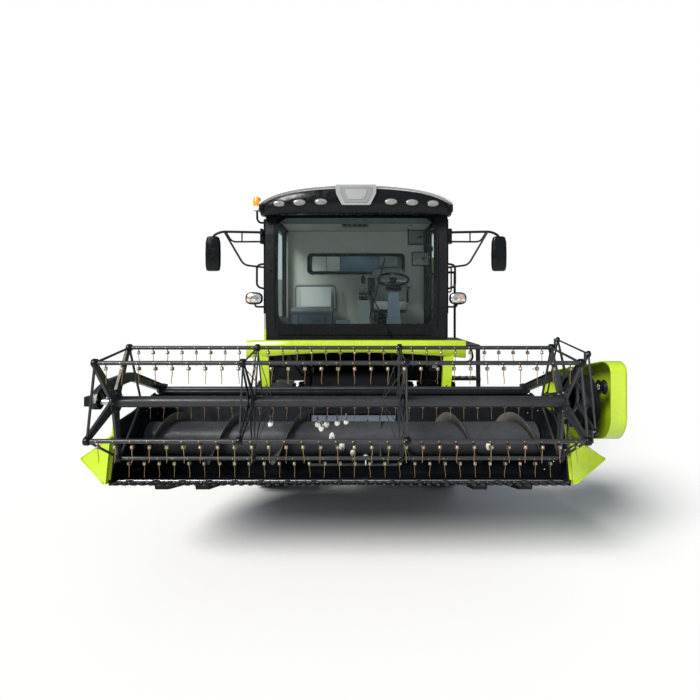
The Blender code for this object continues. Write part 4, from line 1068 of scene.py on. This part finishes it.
def make_bench():
    """The second seat: a tubular frame with a pale back panel and a pad."""
    build = Builder()
    left, right = -0.90, -0.30
    build.block(((-0.98, 2.34), (-0.55, 2.36), (-0.98, 2.42), (-0.55, 2.43), (-1.00, 2.38)), "x",
                left + 0.02, right - 0.02, TRIM)
    build.box((left + 0.03, -0.97, 2.064), (right - 0.03, -0.52, 2.34), BLUE_GREY)
    for x in (left + 0.12, right - 0.12):
        build.box((x - 0.004, -0.975, 2.10), (x + 0.004, -0.965, 2.31), PLASTIC)
    build.box((left + 0.10, -0.545, 2.44), (right - 0.06, -0.515, 2.73), WHITE)
    build.tube(rounded([(left + 0.02, -0.55, 2.40), (left + 0.02, -0.54, 2.745), (right, -0.54, 2.745),
                        (right, -0.55, 2.40)], 0.05), 0.016, TRIM, 10)
    build.box((-0.26, -1.30, 2.064), (-0.08, -1.08, 2.26), BLUE_GREY)
    build.box((-0.255, -1.302, 2.20), (-0.085, -1.298, 2.215), PLASTIC)
    build.piece("bench_dressed", "machine", ["passenger_bench"], bevel=0.008)


def make_screens():
    """Displays and their brackets, a coat hook and the radio box."""
    build = Builder()
    for low, high in (((0.66, -1.42, 3.23), (0.87, -1.38, 3.42)), ((0.71, -1.44, 2.96), (0.93, -1.40, 3.14))):
        low, high = Vector(low), Vector(high)
        build.box(low, high + Vector((0, 0.03, 0)), PLASTIC)
        build.box((low.x + 0.012, low.y - 0.002, low.z + 0.012),
                  (high.x - 0.012, low.y + 0.002, high.z - 0.012), LENS)
        build.tube([((low.x + high.x) / 2, high.y, (low.z + high.z) / 2),
                    (0.86, -1.50, (low.z + high.z) / 2)], 0.012, PLASTIC, 8)
    build.box((0.145, -1.62, 2.62), (0.235, -1.60, 2.80), PLASTIC)
    build.tube(rounded([(0.19, -1.60, 2.64), (0.20, -1.58, 2.45), (0.24, -1.66, 2.25)], 0.08), 0.009,
               PLASTIC, 8)
    build.box((0.80, -1.66, 2.07), (0.98, -1.50, 2.23), PLASTIC)
    build.tube(rounded([(0.93, -1.60, 2.45), (0.90, -1.66, 2.60), (0.90, -1.66, 3.05),
                        (0.93, -1.60, 3.15)], 0.05), 0.012, PLASTIC, 8)
    build.piece("cab_screens", "machine", bevel=0.004)


def make_band():
    """The lime band under the windshield: a curved sheet with an arched lower edge."""
    build = Builder()
    sections = []
    for k in range(49):
        x = -BAND_HALF + 2 * BAND_HALF * k / 48
        share = abs(x) / BAND_HALF
        face = -1.955 + 0.10 * max(0.0, share - 0.62) ** 1.5 / 0.234 * 0.9
        low = 1.832 + 0.075 * (1 - share * share)
        top = 2.052 - 0.012 * share ** 6
        shoulder = 0.055 * (1 - 0.5 * share)
        sections.append([(x, face + 0.055, top), (x, face + 0.022, top - 0.008),
                         (x, face + 0.004, top - shoulder),
                         (x, face, (top + low) / 2), (x, face + 0.006, low + 0.02), (x, face + 0.02, low),
                         (x, face + 0.034, low + 0.004), (x, face + 0.016, (top + low) / 2),
                         (x, face + 0.032, top - 0.022), (x, face + 0.056, top - 0.014)])
    make_loft(build, sections, LIME)
    for s in (-1, 1):
        build.hull([(s * x, y, z) for x, z in ((1.15, 1.87), (1.03, 1.87), (1.11, 1.45), (1.01, 1.45))
                    for y in (-1.90, -1.84)], LIME)
        build.block(((-1.86, 1.86), (-1.76, 1.86), (-1.86, 2.03), (-1.76, 2.03)), "x", s * 1.20,
                    s * BAND_HALF, LIME)
        for x, z in ((1.08, 1.80), (1.06, 1.52)):
            build.stub(0.011, 0, 0.007, (s * x, -1.90, z), (s * x, -3, z), STEEL, 6)
    build.box((-1.0, -1.90, 1.90), (1.0, -1.80, 1.96), DARK)
    build.piece("band_dressed", "machine", ["front_band"], bevel=0.003)


def make_under_cab():
    """What shows in the dark under the band: lines, a valve block, a bracket and cables."""
    build = Builder()
    for x, drop in ((-0.78, 0.0), (-0.70, 0.03), (-0.62, 0.05), (0.66, 0.02), (0.74, 0.0)):
        path = rounded([(x, -1.62, 1.92), (x, -1.68, 1.80 - drop), (x * 0.9, -1.55, 1.62),
                        (x * 0.85, -1.15, 1.50)], 0.12, 6)
        build.tube(path, 0.014, BELT, 8)
    build.box((-0.98, -1.70, 1.70), (-0.86, -1.55, 1.86), DARK)
    build.box((0.88, -1.72, 1.66), (1.0, -1.60, 1.84), DARK)
    build.box((0.92, -1.735, 1.70), (0.98, -1.72, 1.78), LENS)
    loop = rounded([(1.24, -1.80, 1.95), (1.36, -1.82, 1.97), (1.40, -1.83, 1.80), (1.24, -1.80, 1.77)],
                   0.09, 6)
    build.tube(loop, 0.014, PLASTIC, 10)
    build.piece("under_cab_lines", "machine", bevel=0.003)


def make_mirror(s, side):
    """Mirror, its two arms and brace, the hand rail and the head lamp of one side."""
    build = Builder()
    build.block(((-1.80, 2.36), (-1.755, 2.36), (-1.80, 3.49), (-1.755, 3.49)), "x",
                s * (CAB_HALF + 0.001), s * (CAB_HALF + 0.034), PLASTIC)
    top = rounded([(s * RAIL_X, RAIL_Y, 3.33), (s * 1.60, MIRROR_Y, 3.335), (s * MIRROR_X, MIRROR_Y, 3.29),
                   (s * MIRROR_X, MIRROR_Y, 3.20)], 0.05)
    low = rounded([(s * RAIL_X, RAIL_Y, 3.22), (s * 1.48, -1.81, 3.215), (s * 1.55, -1.815, 3.33)], 0.05)
    brace = rounded([(s * 1.56, -1.815, 3.32), (s * 1.34, -1.80, 2.94), (s * RAIL_X, RAIL_Y, 2.91)], 0.06)
    for path, radius in ((top, 0.015), (low, 0.011), (brace, 0.012)):
        build.tube(path, radius, DARK, 10)
    build.tube([(s * 1.36, -1.805, 3.335), (s * 1.36, -1.805, 3.215)], 0.009, DARK, 8)
    build.box((s * RAIL_X - 0.02, -1.835, 3.19), (s * (RAIL_X + 0.05), -1.76, 3.37), PLASTIC)
    build.lathe([(0.02, 0), (0.026, 0.01), (0.018, 0.03)], (s * 1.115, -1.835, 3.30),
                (s * 1.115, -2, 3.30), PLASTIC, 12)
    rail = rounded([(s * RAIL_X, RAIL_Y, 2.955), (s * 1.185, RAIL_Y, 2.94), (s * 1.185, RAIL_Y, 2.68),
                    (s * RAIL_X, RAIL_Y, 2.655)], 0.05)
    build.tube(rail, 0.013, DARK, 10)
    sections = []
    for z, wide, deep in ((2.865, 0.060, 0.020), (2.875, 0.078, 0.034), (2.93, 0.088, 0.042),
                          (3.07, 0.090, 0.045),
                          (3.21, 0.086, 0.042), (3.265, 0.072, 0.034), (3.278, 0.050, 0.020)):
        sections.append([(s * MIRROR_X + wide * squared(math.cos(t), 0.6),
                          MIRROR_Y - deep * squared(math.sin(t), 0.7), z)
                         for t in full_turn(20)])
    make_loft(build, sections, PLASTIC)
    corners = ((0.045, 3.215, 0), (-0.045, 3.215, 90), (-0.045, 2.925, 180), (0.045, 2.925, 270))
    glass = [(s * MIRROR_X + x, z) for cx, cz, start in corners
             for x, z in arc((cx, cz), 0.025, start, start + 90, 5)]
    build.slab(glass, "y", -1.779, -1.774, MIRROR)
    make_head_lamp(build, s)
    build.piece(f"mirror_{side}_dressed", "machine", [f"mirror_{side}"], bevel=0.002)


def make_head_lamp(build, s):
    """A rounded head lamp on a bracket, with its chrome reflector behind a clear front."""
    x, y, z = s * 1.205, -1.83, 2.54
    build.tube(rounded([(s * 1.09, -1.79, 2.44), (x, -1.79, 2.44), (x, -1.80, 2.50)], 0.04), 0.012, DARK, 8)
    for wide, tall, levels, material in (
            (0.100, 0.074, ((0.55, 0.06), (0.85, 0.045), (1.0, 0.0), (1.0, -0.04), (0.92, -0.05),
                            (0.90, -0.04)), PLASTIC),
            (0.088, 0.062, ((1.0, -0.03), (0.98, -0.046), (0.8, -0.054), (0.4, -0.060)), LAMP)):
        make_loft(build, oval_rings((x, y, z), wide, tall, levels, 0.75), material)
    build.lathe([(0.028, 0), (0.028, 0.006), (0.012, 0.010)], (x - s * 0.03, y - 0.052, z),
                (x - s * 0.03, -3, z), LENS, 16)
    build.box((x + s * 0.035 - 0.012, y - 0.060, z - 0.022), (x + s * 0.035 + 0.012, y - 0.048, z + 0.03),
              AMBER)


def make_beacon():
    """The amber beacon on its bent stalk."""
    build = Builder()
    stalk = rounded([(-1.08, -1.70, 3.46), (-1.17, -1.70, 3.46), (-1.20, -1.70, 3.50),
                     (-1.20, -1.70, 3.61)], 0.04)
    build.tube(stalk, 0.013, DARK, 10)
    build.box((-1.10, -1.73, 3.42), (-1.071, -1.67, 3.50), PLASTIC)
    build.lathe([(0.03, 0), (0.052, 0.008), (0.054, 0.045), (0.046, 0.055)], (-1.20, -1.70, 3.60),
                (-1.20, -1.70, 4), GUIDE, 28)
    build.lathe([(0.045, 0.05), (0.048, 0.058), (0.048, 0.13), (0.040, 0.160), (0.020, 0.172),
                 (0.004, 0.175)], (-1.20, -1.70, 3.60), (-1.20, -1.70, 4), AMBER, 28)
    build.piece("beacon_dressed", "machine", ["beacon"])


def make_door_trim():
    """The cab door's handle and hinges."""
    build = Builder()
    x = CAB_HALF + 0.034
    build.tube(rounded([(x, -1.71, 2.62), (x + 0.05, -1.71, 2.62), (x + 0.05, -1.71, 2.92),
                        (x, -1.71, 2.92)], 0.03), 0.010, PLASTIC, 8)
    build.box((x - 0.004, -1.735, 2.50), (x + 0.012, -1.685, 2.60), PLASTIC)
    for z in (2.35, 3.25):
        build.box((x - 0.004, -0.56, z), (x + 0.010, -0.45, z + 0.06), PLASTIC)
        build.stub(0.012, 0, 0.08, (x + 0.008, -0.445, z - 0.01), (x + 0.008, -0.445, z + 1), STEEL, 12)
    build.piece("cab_door_trim", "cab_door_body", bevel=0.003)


def make_platform_trim():
    """Treads on the deck and ladder."""
    build = Builder()
    for k in range(7):
        y = -1.70 + 0.20 * k
        build.box((1.14, y, 1.981), (1.46, y + 0.02, 1.987), STEEL)
    for y, z in ((-1.76, 0.631), (-1.75, 0.951), (-1.735, 1.271), (-1.72, 1.591)):
        for dx in (0.02, 0.10, 0.18, 0.26):
            build.box((1.16 + dx, y - 0.07, z), (1.19 + dx, y + 0.07, z + 0.006), STEEL)
    build.piece("platform_trim", "machine", bevel=0.002)


# ---------------------------------------------------------------- wheels


def make_tyre(node, body, lugs):
    """A tyre with a rounded wall and slanting tractor lugs."""
    low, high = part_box(node)
    centre = (low + high) / 2
    radius, half = (high.z - low.z) / 2, (high.x - low.x) / 2
    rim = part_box(node.replace("tyre", "rim"))
    bead = (rim[1].z - rim[0].z) / 2 + 0.001
    build = Builder()
    tread = radius * 0.945
    profile = [(bead, -half * 0.66), (bead, -half * 0.78), (bead + 0.015, -half * 0.84),
               (bead + (tread - bead) * 0.35, -half * 0.98), (bead + (tread - bead) * 0.65, -half),
               (tread * 0.965, -half * 0.93), (tread, -half * 0.70), (tread * 1.005, 0), (tread, half * 0.70),
               (tread * 0.965, half * 0.93), (bead + (tread - bead) * 0.65, half),
               (bead + (tread - bead) * 0.35, half * 0.98), (bead + 0.015, half * 0.84), (bead, half * 0.78),
               (bead, half * 0.66), (bead, -half * 0.66)]
    build.lathe(profile, centre, centre + Vector((1, 0, 0)), RUBBER, 72)
    wide = 2 * math.pi * radius / lugs
    for k in range(lugs):
        for s in (-1, 1):
            base = 2 * math.pi * (k + (0.5 if s > 0 else 0.0)) / lugs
            points = []
            for x, lead, height in ((0.02, 0.0, 1.0), (half * 0.55, 0.55, 1.0), (half * 0.97, 0.95, 0.975)):
                for edge in (-0.14, 0.14):
                    for lift in (height, 0.93 - 0.03 * (x / half)):
                        turn = base + (lead + edge * (0.75 if lift > 0.95 else 1.1)) * wide / radius
                        points.append(centre + Vector((s * x, radius * lift * math.cos(turn),
                                                       radius * lift * math.sin(turn))))
            build.hull(points, RUBBER)
    for share in (0.45, 0.52):
        for s in (-1, 1):
            ring = bead + (tread - bead) * share
            build.lathe([(ring, 0), (ring + 0.006, s * 0.004), (ring + 0.012, 0)],
                        centre + Vector((s * (half - 0.004), 0, 0)), centre + Vector((s * 9, 0, 0)),
                        RUBBER, 72)
    build.piece(f"{node}_dressed", body, [node], sharp=30)


def make_wheel_nuts(body, node, side, count, ring):
    """Nuts, hub cap and valve on a wheel's disc."""
    low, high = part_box(node)
    centre = (low + high) / 2
    build = Builder()
    half = (high.x - low.x) / 2
    face = centre.x + side * half * 0.10 / 0.82
    hub = centre.x + side * half * 0.42 / 0.82
    for k in range(count):
        turn = 2 * math.pi * k / count
        spot = Vector((face, centre.y + ring * math.cos(turn), centre.z + ring * math.sin(turn)))
        build.lathe([(0.020, -0.004), (0.020, 0.004), (0.014, 0.006), (0.014, 0.024), (0.010, 0.028)], spot,
                    spot + Vector((side, 0, 0)), STEEL, 6)
    middle = Vector((hub, centre.y, centre.z))
    build.lathe([(0.055, -0.01), (0.055, 0.01), (0.045, 0.035), (0.02, 0.042)], middle,
                middle + Vector((side, 0, 0)), IRON, 24)
    valve = Vector((face, centre.y, centre.z + ring * 1.45))
    build.tube([valve, valve + Vector((side * 0.03, 0, 0.01))], 0.005, STEEL, 8)
    build.piece(f"{node}_nuts", body)


# ---------------------------------------------------------------- body behind the cab

# The side panels' face, the grain tank's upper walls and the unloading pipe's line.
SIDE_FACE = 1.38
TANK_HALF, TANK_FRONT, TANK_BACK, TANK_TOP = 0.95, -0.20, 1.70, 3.40
UNLOADER_X, UNLOADER_Z = 1.17, 3.06

def make_side_trim(s, side):
    """Pressed lines, handle, hinges and vents of one side door and its arch."""
    build = Builder()
    x = s * SIDE_FACE
    for z in (1.30, 1.38, 1.46):
        build.rib((x, 0.30, z), (x, 2.72, z), (s, 0, 0), 0.015, 0.006, 0.006, LIME)
    for k in range(9):
        y = 1.90 + 0.085 * k
        build.hull([(x + s * d, y + a, z) for z in (1.62, 1.96)
                    for d, a in ((-0.002, -0.022), (-0.002, 0.022), (0.012, -0.005), (0.012, 0.014))], DARK)
    build.box((min(x, x + s * 0.006), 0.45, 1.60), (max(x, x + s * 0.006), 1.55, 1.98), DARK)
    for y in (1.35, 2.45):
        build.tube(rounded([(x, y, 1.14), (x + s * 0.035, y, 1.14), (x + s * 0.035, y + 0.16, 1.14),
                            (x, y + 0.16, 1.14)], 0.02), 0.009, PLASTIC, 8)
    for y in (0.22, 2.80):
        for z in (1.12, 1.55, 2.02):
            build.lathe([(0.014, 0), (0.014, 0.004), (0.006, 0.008)], (x, y, z), (s * 3, y, z), STEEL, 10)
    for y in (0.50, 1.50, 2.50):
        build.stub(0.013, 0, 0.10, (x - s * 0.004, y, 2.080), (x - s * 0.004, y + 1, 2.080), PLASTIC, 12)
    build.piece(f"side_door_{side}_trim", f"side_door_{side}_body", bevel=0.002)


def make_tank_trim():
    """Ribs, folded lids and rungs of the grain tank, and lines on the hoods."""
    build = Builder()
    for s in (-1, 1):
        for y in (0.10, 0.50, 0.90, 1.30):
            build.rib((s * TANK_HALF, y, 2.87), (s * TANK_HALF, y, 3.36), (s, 0, 0), 0.03, 0.015, 0.014, GREY)
            build.rib((s * SIDE_FACE, y, 2.16), (s * SIDE_FACE, y, 2.80), (s, 0, 0), 0.03, 0.015, 0.012, GREY)
        build.tube([(s * TANK_HALF, TANK_FRONT, TANK_TOP), (s * TANK_HALF, TANK_BACK, TANK_TOP)], 0.018,
                   DARK, 10)
        build.tube([(s * 1.375, -0.27, 2.845), (s * 1.375, 1.74, 2.845)], 0.012, DARK, 10)
    for y in (TANK_FRONT, TANK_BACK):
        build.tube([(-TANK_HALF, y, TANK_TOP), (TANK_HALF, y, TANK_TOP)], 0.018, DARK, 10)
    for x in (-0.5, 0.0, 0.5):
        build.rib((x, TANK_BACK, 2.87), (x, TANK_BACK, 3.36), (0, 1, 0), 0.03, 0.015, 0.014, GREY)
    for z in (2.95, 3.12, 3.29):
        build.tube(rounded([(-0.25, TANK_BACK, z), (-0.25, TANK_BACK + 0.08, z), (0.05, TANK_BACK + 0.08, z),
                            (0.05, TANK_BACK, z)], 0.03), 0.011, DARK, 8)
    build.piece("grain_tank_trim", "machine", bevel=0.003)


def make_hood_trim():
    """The engine's screen, vents and stack, and the rear's lamps and flaps."""
    build = Builder()
    low, high = Vector((1.352, 1.95, 2.25)), Vector((1.374, 2.90, 2.75))
    for k in range(26):
        y = low.y + (high.y - low.y) * (k + 0.5) / 26
        build.tube([(1.362, y, low.z), (1.362, y, high.z)], 0.0035, DARK, 6)
    for k in range(14):
        z = low.z + (high.z - low.z) * (k + 0.5) / 14
        build.tube([(1.368, low.y, z), (1.368, high.y, z)], 0.0035, DARK, 6)
    build.border([(1.93, 2.23), (2.92, 2.23), (2.92, 2.77), (1.93, 2.77)],
                [(1.97, 2.27), (2.88, 2.27), (2.88, 2.73), (1.97, 2.73)], "x", 1.374, 1.390, DARK)
    for k in range(7):
        y = 2.02 + 0.14 * k
        build.hull([(x, y + a, 2.85 + h) for x in (-1.15, -0.35) for a, h in ((-0.04, -0.001), (0.04, -0.001),
                    (0.03, 0.018), (0.0, 0.022))], LIME)
    build.lathe([(0.06, 0), (0.06, 0.03), (0.05, 0.035), (0.05, 0.34), (0.044, 0.34), (0.044, 0.30)],
                (0.30, 2.35, 2.85), (0.30, 2.35, 4), IRON, 24)
    for s in (-1, 1):
        for z, lens in ((2.66, RED), (2.56, AMBER)):
            build.box((s * 1.22 - 0.08, 3.09, z - 0.045), (s * 1.22 + 0.08, 3.115, z + 0.045), PLASTIC)
            build.box((s * 1.22 - 0.07, 3.11, z - 0.036), (s * 1.22 + 0.07, 3.125, z + 0.036), lens)
        for k in range(6):
            z = 2.20 + 0.05 * k
            build.box((s * 1.0 - 0.30, 3.098, z), (s * 1.0 + 0.30, 3.108, z + 0.02), DARK)
        for y, z in ((3.0, 1.15), (3.5, 1.15), (3.0, 2.20), (3.45, 2.20), (3.7, 1.6)):
            build.stub(0.012, 0, 0.006, (s * 0.74, y, z), (s * 3, y, z), STEEL, 8)
        for z in (1.35, 1.50):
            build.rib((s * 0.74, 3.0, z), (s * 0.74, 3.85, z), (s, 0, 0), 0.02, 0.008, 0.010, LIME)
        build.lathe([(0.045, 0), (0.045, 0.012), (0.03, 0.016)], (s * 0.55, 3.985, 1.35),
                    (s * 0.55, 9, 1.35), RED, 24)
    build.tube(rounded([(-0.30, 3.97, 1.50), (-0.30, 3.998, 1.52), (0.30, 3.998, 1.52),
                        (0.30, 3.97, 1.50)], 0.01), 0.012, PLASTIC, 8)
    build.piece("hood_trim", "machine", bevel=0.002)


def make_unloader_trim():
    """Flanges and clamps along the unloading pipe, and the rubber lip of its spout."""
    build = Builder()
    for y in (0.18, 0.24, 1.70, 1.76, 3.20):
        build.lathe([(0.136, -0.010), (0.158, -0.010), (0.158, 0.010), (0.136, 0.010)],
                    (UNLOADER_X, y, UNLOADER_Z), (UNLOADER_X, 9, UNLOADER_Z), DARK, 40)
    for y in (0.21, 1.73):
        for k in range(8):
            turn = 2 * math.pi * k / 8
            spot = (UNLOADER_X + 0.147 * math.cos(turn), y - 0.045, UNLOADER_Z + 0.147 * math.sin(turn))
            build.stub(0.008, 0, 0.09, spot, (spot[0], 9, spot[2]), STEEL, 6)
    build.hull([(UNLOADER_X + a, 3.42 + b, z) for a in (-0.125, 0.125) for b in (-0.105, 0.105)
                for z in (2.845, 2.885)], BELT)
    build.lathe([(0.155, 0), (0.170, 0.006), (0.170, 0.024), (0.155, 0.03)], (UNLOADER_X, 0, 2.925),
                (UNLOADER_X, 0, 9), DARK, 32)
    build.piece("unloader_trim", "unloader")


def make_chassis_trim():
    """Hub flanges, bolts and hydraulic lines on the frame and rear axle."""
    build = Builder()
    y, z = JOINTS["front_wheel_left_spin"]["pos_m"][1:]
    for s in (-1, 1):
        build.lathe([(0.17, 0), (0.185, 0.004), (0.185, 0.03), (0.12, 0.045)], (s * 0.70, y, z),
                    (s * 3, y, z), IRON, 32)
        for k in range(10):
            turn = 2 * math.pi * k / 10
            spot = (s * 0.725, y + 0.165 * math.cos(turn), z + 0.165 * math.sin(turn))
            build.stub(0.012, 0, 0.014, spot, (s * 3, *spot[1:]), STEEL, 6)
        build.tube(rounded([(s * 0.58, -0.90, 0.90), (s * 0.58, -0.60, 1.00), (s * 0.58, 0.0, 1.02),
                            (s * 0.58, 0.10, 1.30)], 0.1), 0.014, BELT, 8)
        build.box((min(s * 0.705, s * 1.36), -0.112, 1.31), (max(s * 0.705, s * 1.36), -0.102, 2.09), DARK)
        build.box((min(s * 0.705, s * 1.36), -0.068, 1.31), (max(s * 0.705, s * 1.36), -0.060, 2.09), DARK)
    build.piece("chassis_trim", "machine", bevel=0.002)


# ---------------------------------------------------------------- camera, floor and light

# The camera with its lens, in millimetres, and the shift of its picture; the floor.
CAMERA_PLACE = (0.0, -7.697, 2.45)
LENS_MM, SENSOR_MM = 25.4, 36.0
SHIFT_ACROSS, SHIFT_UP = -0.0085714, -0.0628571
FLOOR_SIZE, FLOOR_DROP, FLOOR_GREY = 80, 0.002, 0.90


def make_camera():
    """A level camera in front of the machine."""
    data = bpy.data.cameras.new("camera")
    data.lens = LENS_MM
    data.sensor_width = SENSOR_MM
    data.shift_x = SHIFT_ACROSS
    data.shift_y = SHIFT_UP
    camera = bpy.data.objects.new("camera", data)
    camera.location = CAMERA_PLACE
    camera.rotation_euler = (math.radians(90), 0, 0)
    bpy.context.scene.collection.objects.link(camera)
    bpy.context.scene.camera = camera


def make_floor():
    """A wide pale floor for the shadow."""
    work = bmesh.new()
    bmesh.ops.create_grid(work, x_segments=1, y_segments=1, size=FLOOR_SIZE)
    mesh = bpy.data.meshes.new("floor")
    work.to_mesh(mesh)
    work.free()
    floor = bpy.data.objects.new("floor", mesh)
    floor.location = (0, 0, -FLOOR_DROP)
    bpy.context.scene.collection.objects.link(floor)
    material, _, shader = shader_nodes("floor_white")
    shader.inputs["Base Color"].default_value = (FLOOR_GREY, FLOOR_GREY, FLOOR_GREY, 1)
    shader.inputs["Roughness"].default_value = 0.95
    shader.inputs["Specular IOR Level"].default_value = 0.0
    mesh.materials.append(material)


def make_sky():
    """A dim bluish sky that the camera sees as white."""
    world = bpy.data.worlds.new("world")
    bpy.context.scene.world = world
    world.use_nodes = True
    tree = world.node_tree
    sky = tree.nodes["Background"]
    sky.inputs["Color"].default_value = (0.80, 0.88, 1.0, 1)
    sky.inputs["Strength"].default_value = 0.24
    page = tree.nodes.new("ShaderNodeBackground")
    page.inputs["Color"].default_value = (1, 1, 1, 1)
    page.inputs["Strength"].default_value = 1.0
    path = tree.nodes.new("ShaderNodeLightPath")
    mix = tree.nodes.new("ShaderNodeMixShader")
    tree.links.new(path.outputs["Is Camera Ray"], mix.inputs["Fac"])
    tree.links.new(sky.outputs["Background"], mix.inputs[1])
    tree.links.new(page.outputs["Background"], mix.inputs[2])
    tree.links.new(mix.outputs["Shader"], tree.nodes["World Output"].inputs["Surface"])


def make_sun(name, turn, strength, angle, colour):
    """A sun lamp; a wider angle gives a softer shadow."""
    data = bpy.data.lights.new(name, "SUN")
    data.energy = strength
    data.angle = math.radians(angle)
    data.color = colour
    lamp = bpy.data.objects.new(name, data)
    lamp.rotation_euler = [math.radians(a) for a in turn]
    bpy.context.scene.collection.objects.link(lamp)


# ---------------------------------------------------------------- the whole machine


def dress_machine():
    """Every fine piece, in a fixed order so that the random tines repeat."""
    rng = random.Random(7)
    make_rotor()
    for number, bar in enumerate(BARS, 1):
        make_tine_bar(number, bar, rng)
    make_eccentric()
    make_reel_arms()
    make_auger()
    make_knife()
    make_trough_details()
    make_feeder_chain()
    make_divider_trim()
    make_divider(1, "left")
    make_divider(-1, "right")
    make_belt_cover()
    make_hoses()
    make_roof()
    make_windshield_border()
    make_lining()
    make_seat()
    make_steering_column()
    make_console()
    make_bench()
    make_screens()
    make_band()
    make_under_cab()
    make_beacon()
    make_door_trim()
    make_platform_trim()
    for s, side in ((1, "left"), (-1, "right")):
        make_mirror(s, side)
        make_side_trim(s, side)
        make_tyre(f"front_{side}_tyre", f"front_wheel_{side}", 20)
        make_tyre(f"rear_{side}_tyre", f"rear_wheel_{side}", 18)
        make_wheel_nuts(f"front_wheel_{side}", f"front_{side}_rim", s, 10, 0.19)
        make_wheel_nuts(f"rear_wheel_{side}", f"rear_{side}_rim", s, 8, 0.12)
    make_tank_trim()
    make_hood_trim()
    make_unloader_trim()
    make_chassis_trim()


make_camera()
make_floor()
make_sky()
make_sun("sun", (54, 0, -38), 4.9, 26, (1.0, 0.98, 0.94))
make_sun("fill", (66, 0, 30), 0.22, 60, (0.85, 0.92, 1.0))
bpy.context.scene.view_settings.view_transform = "Standard"
dress_nodes()
dress_machine()
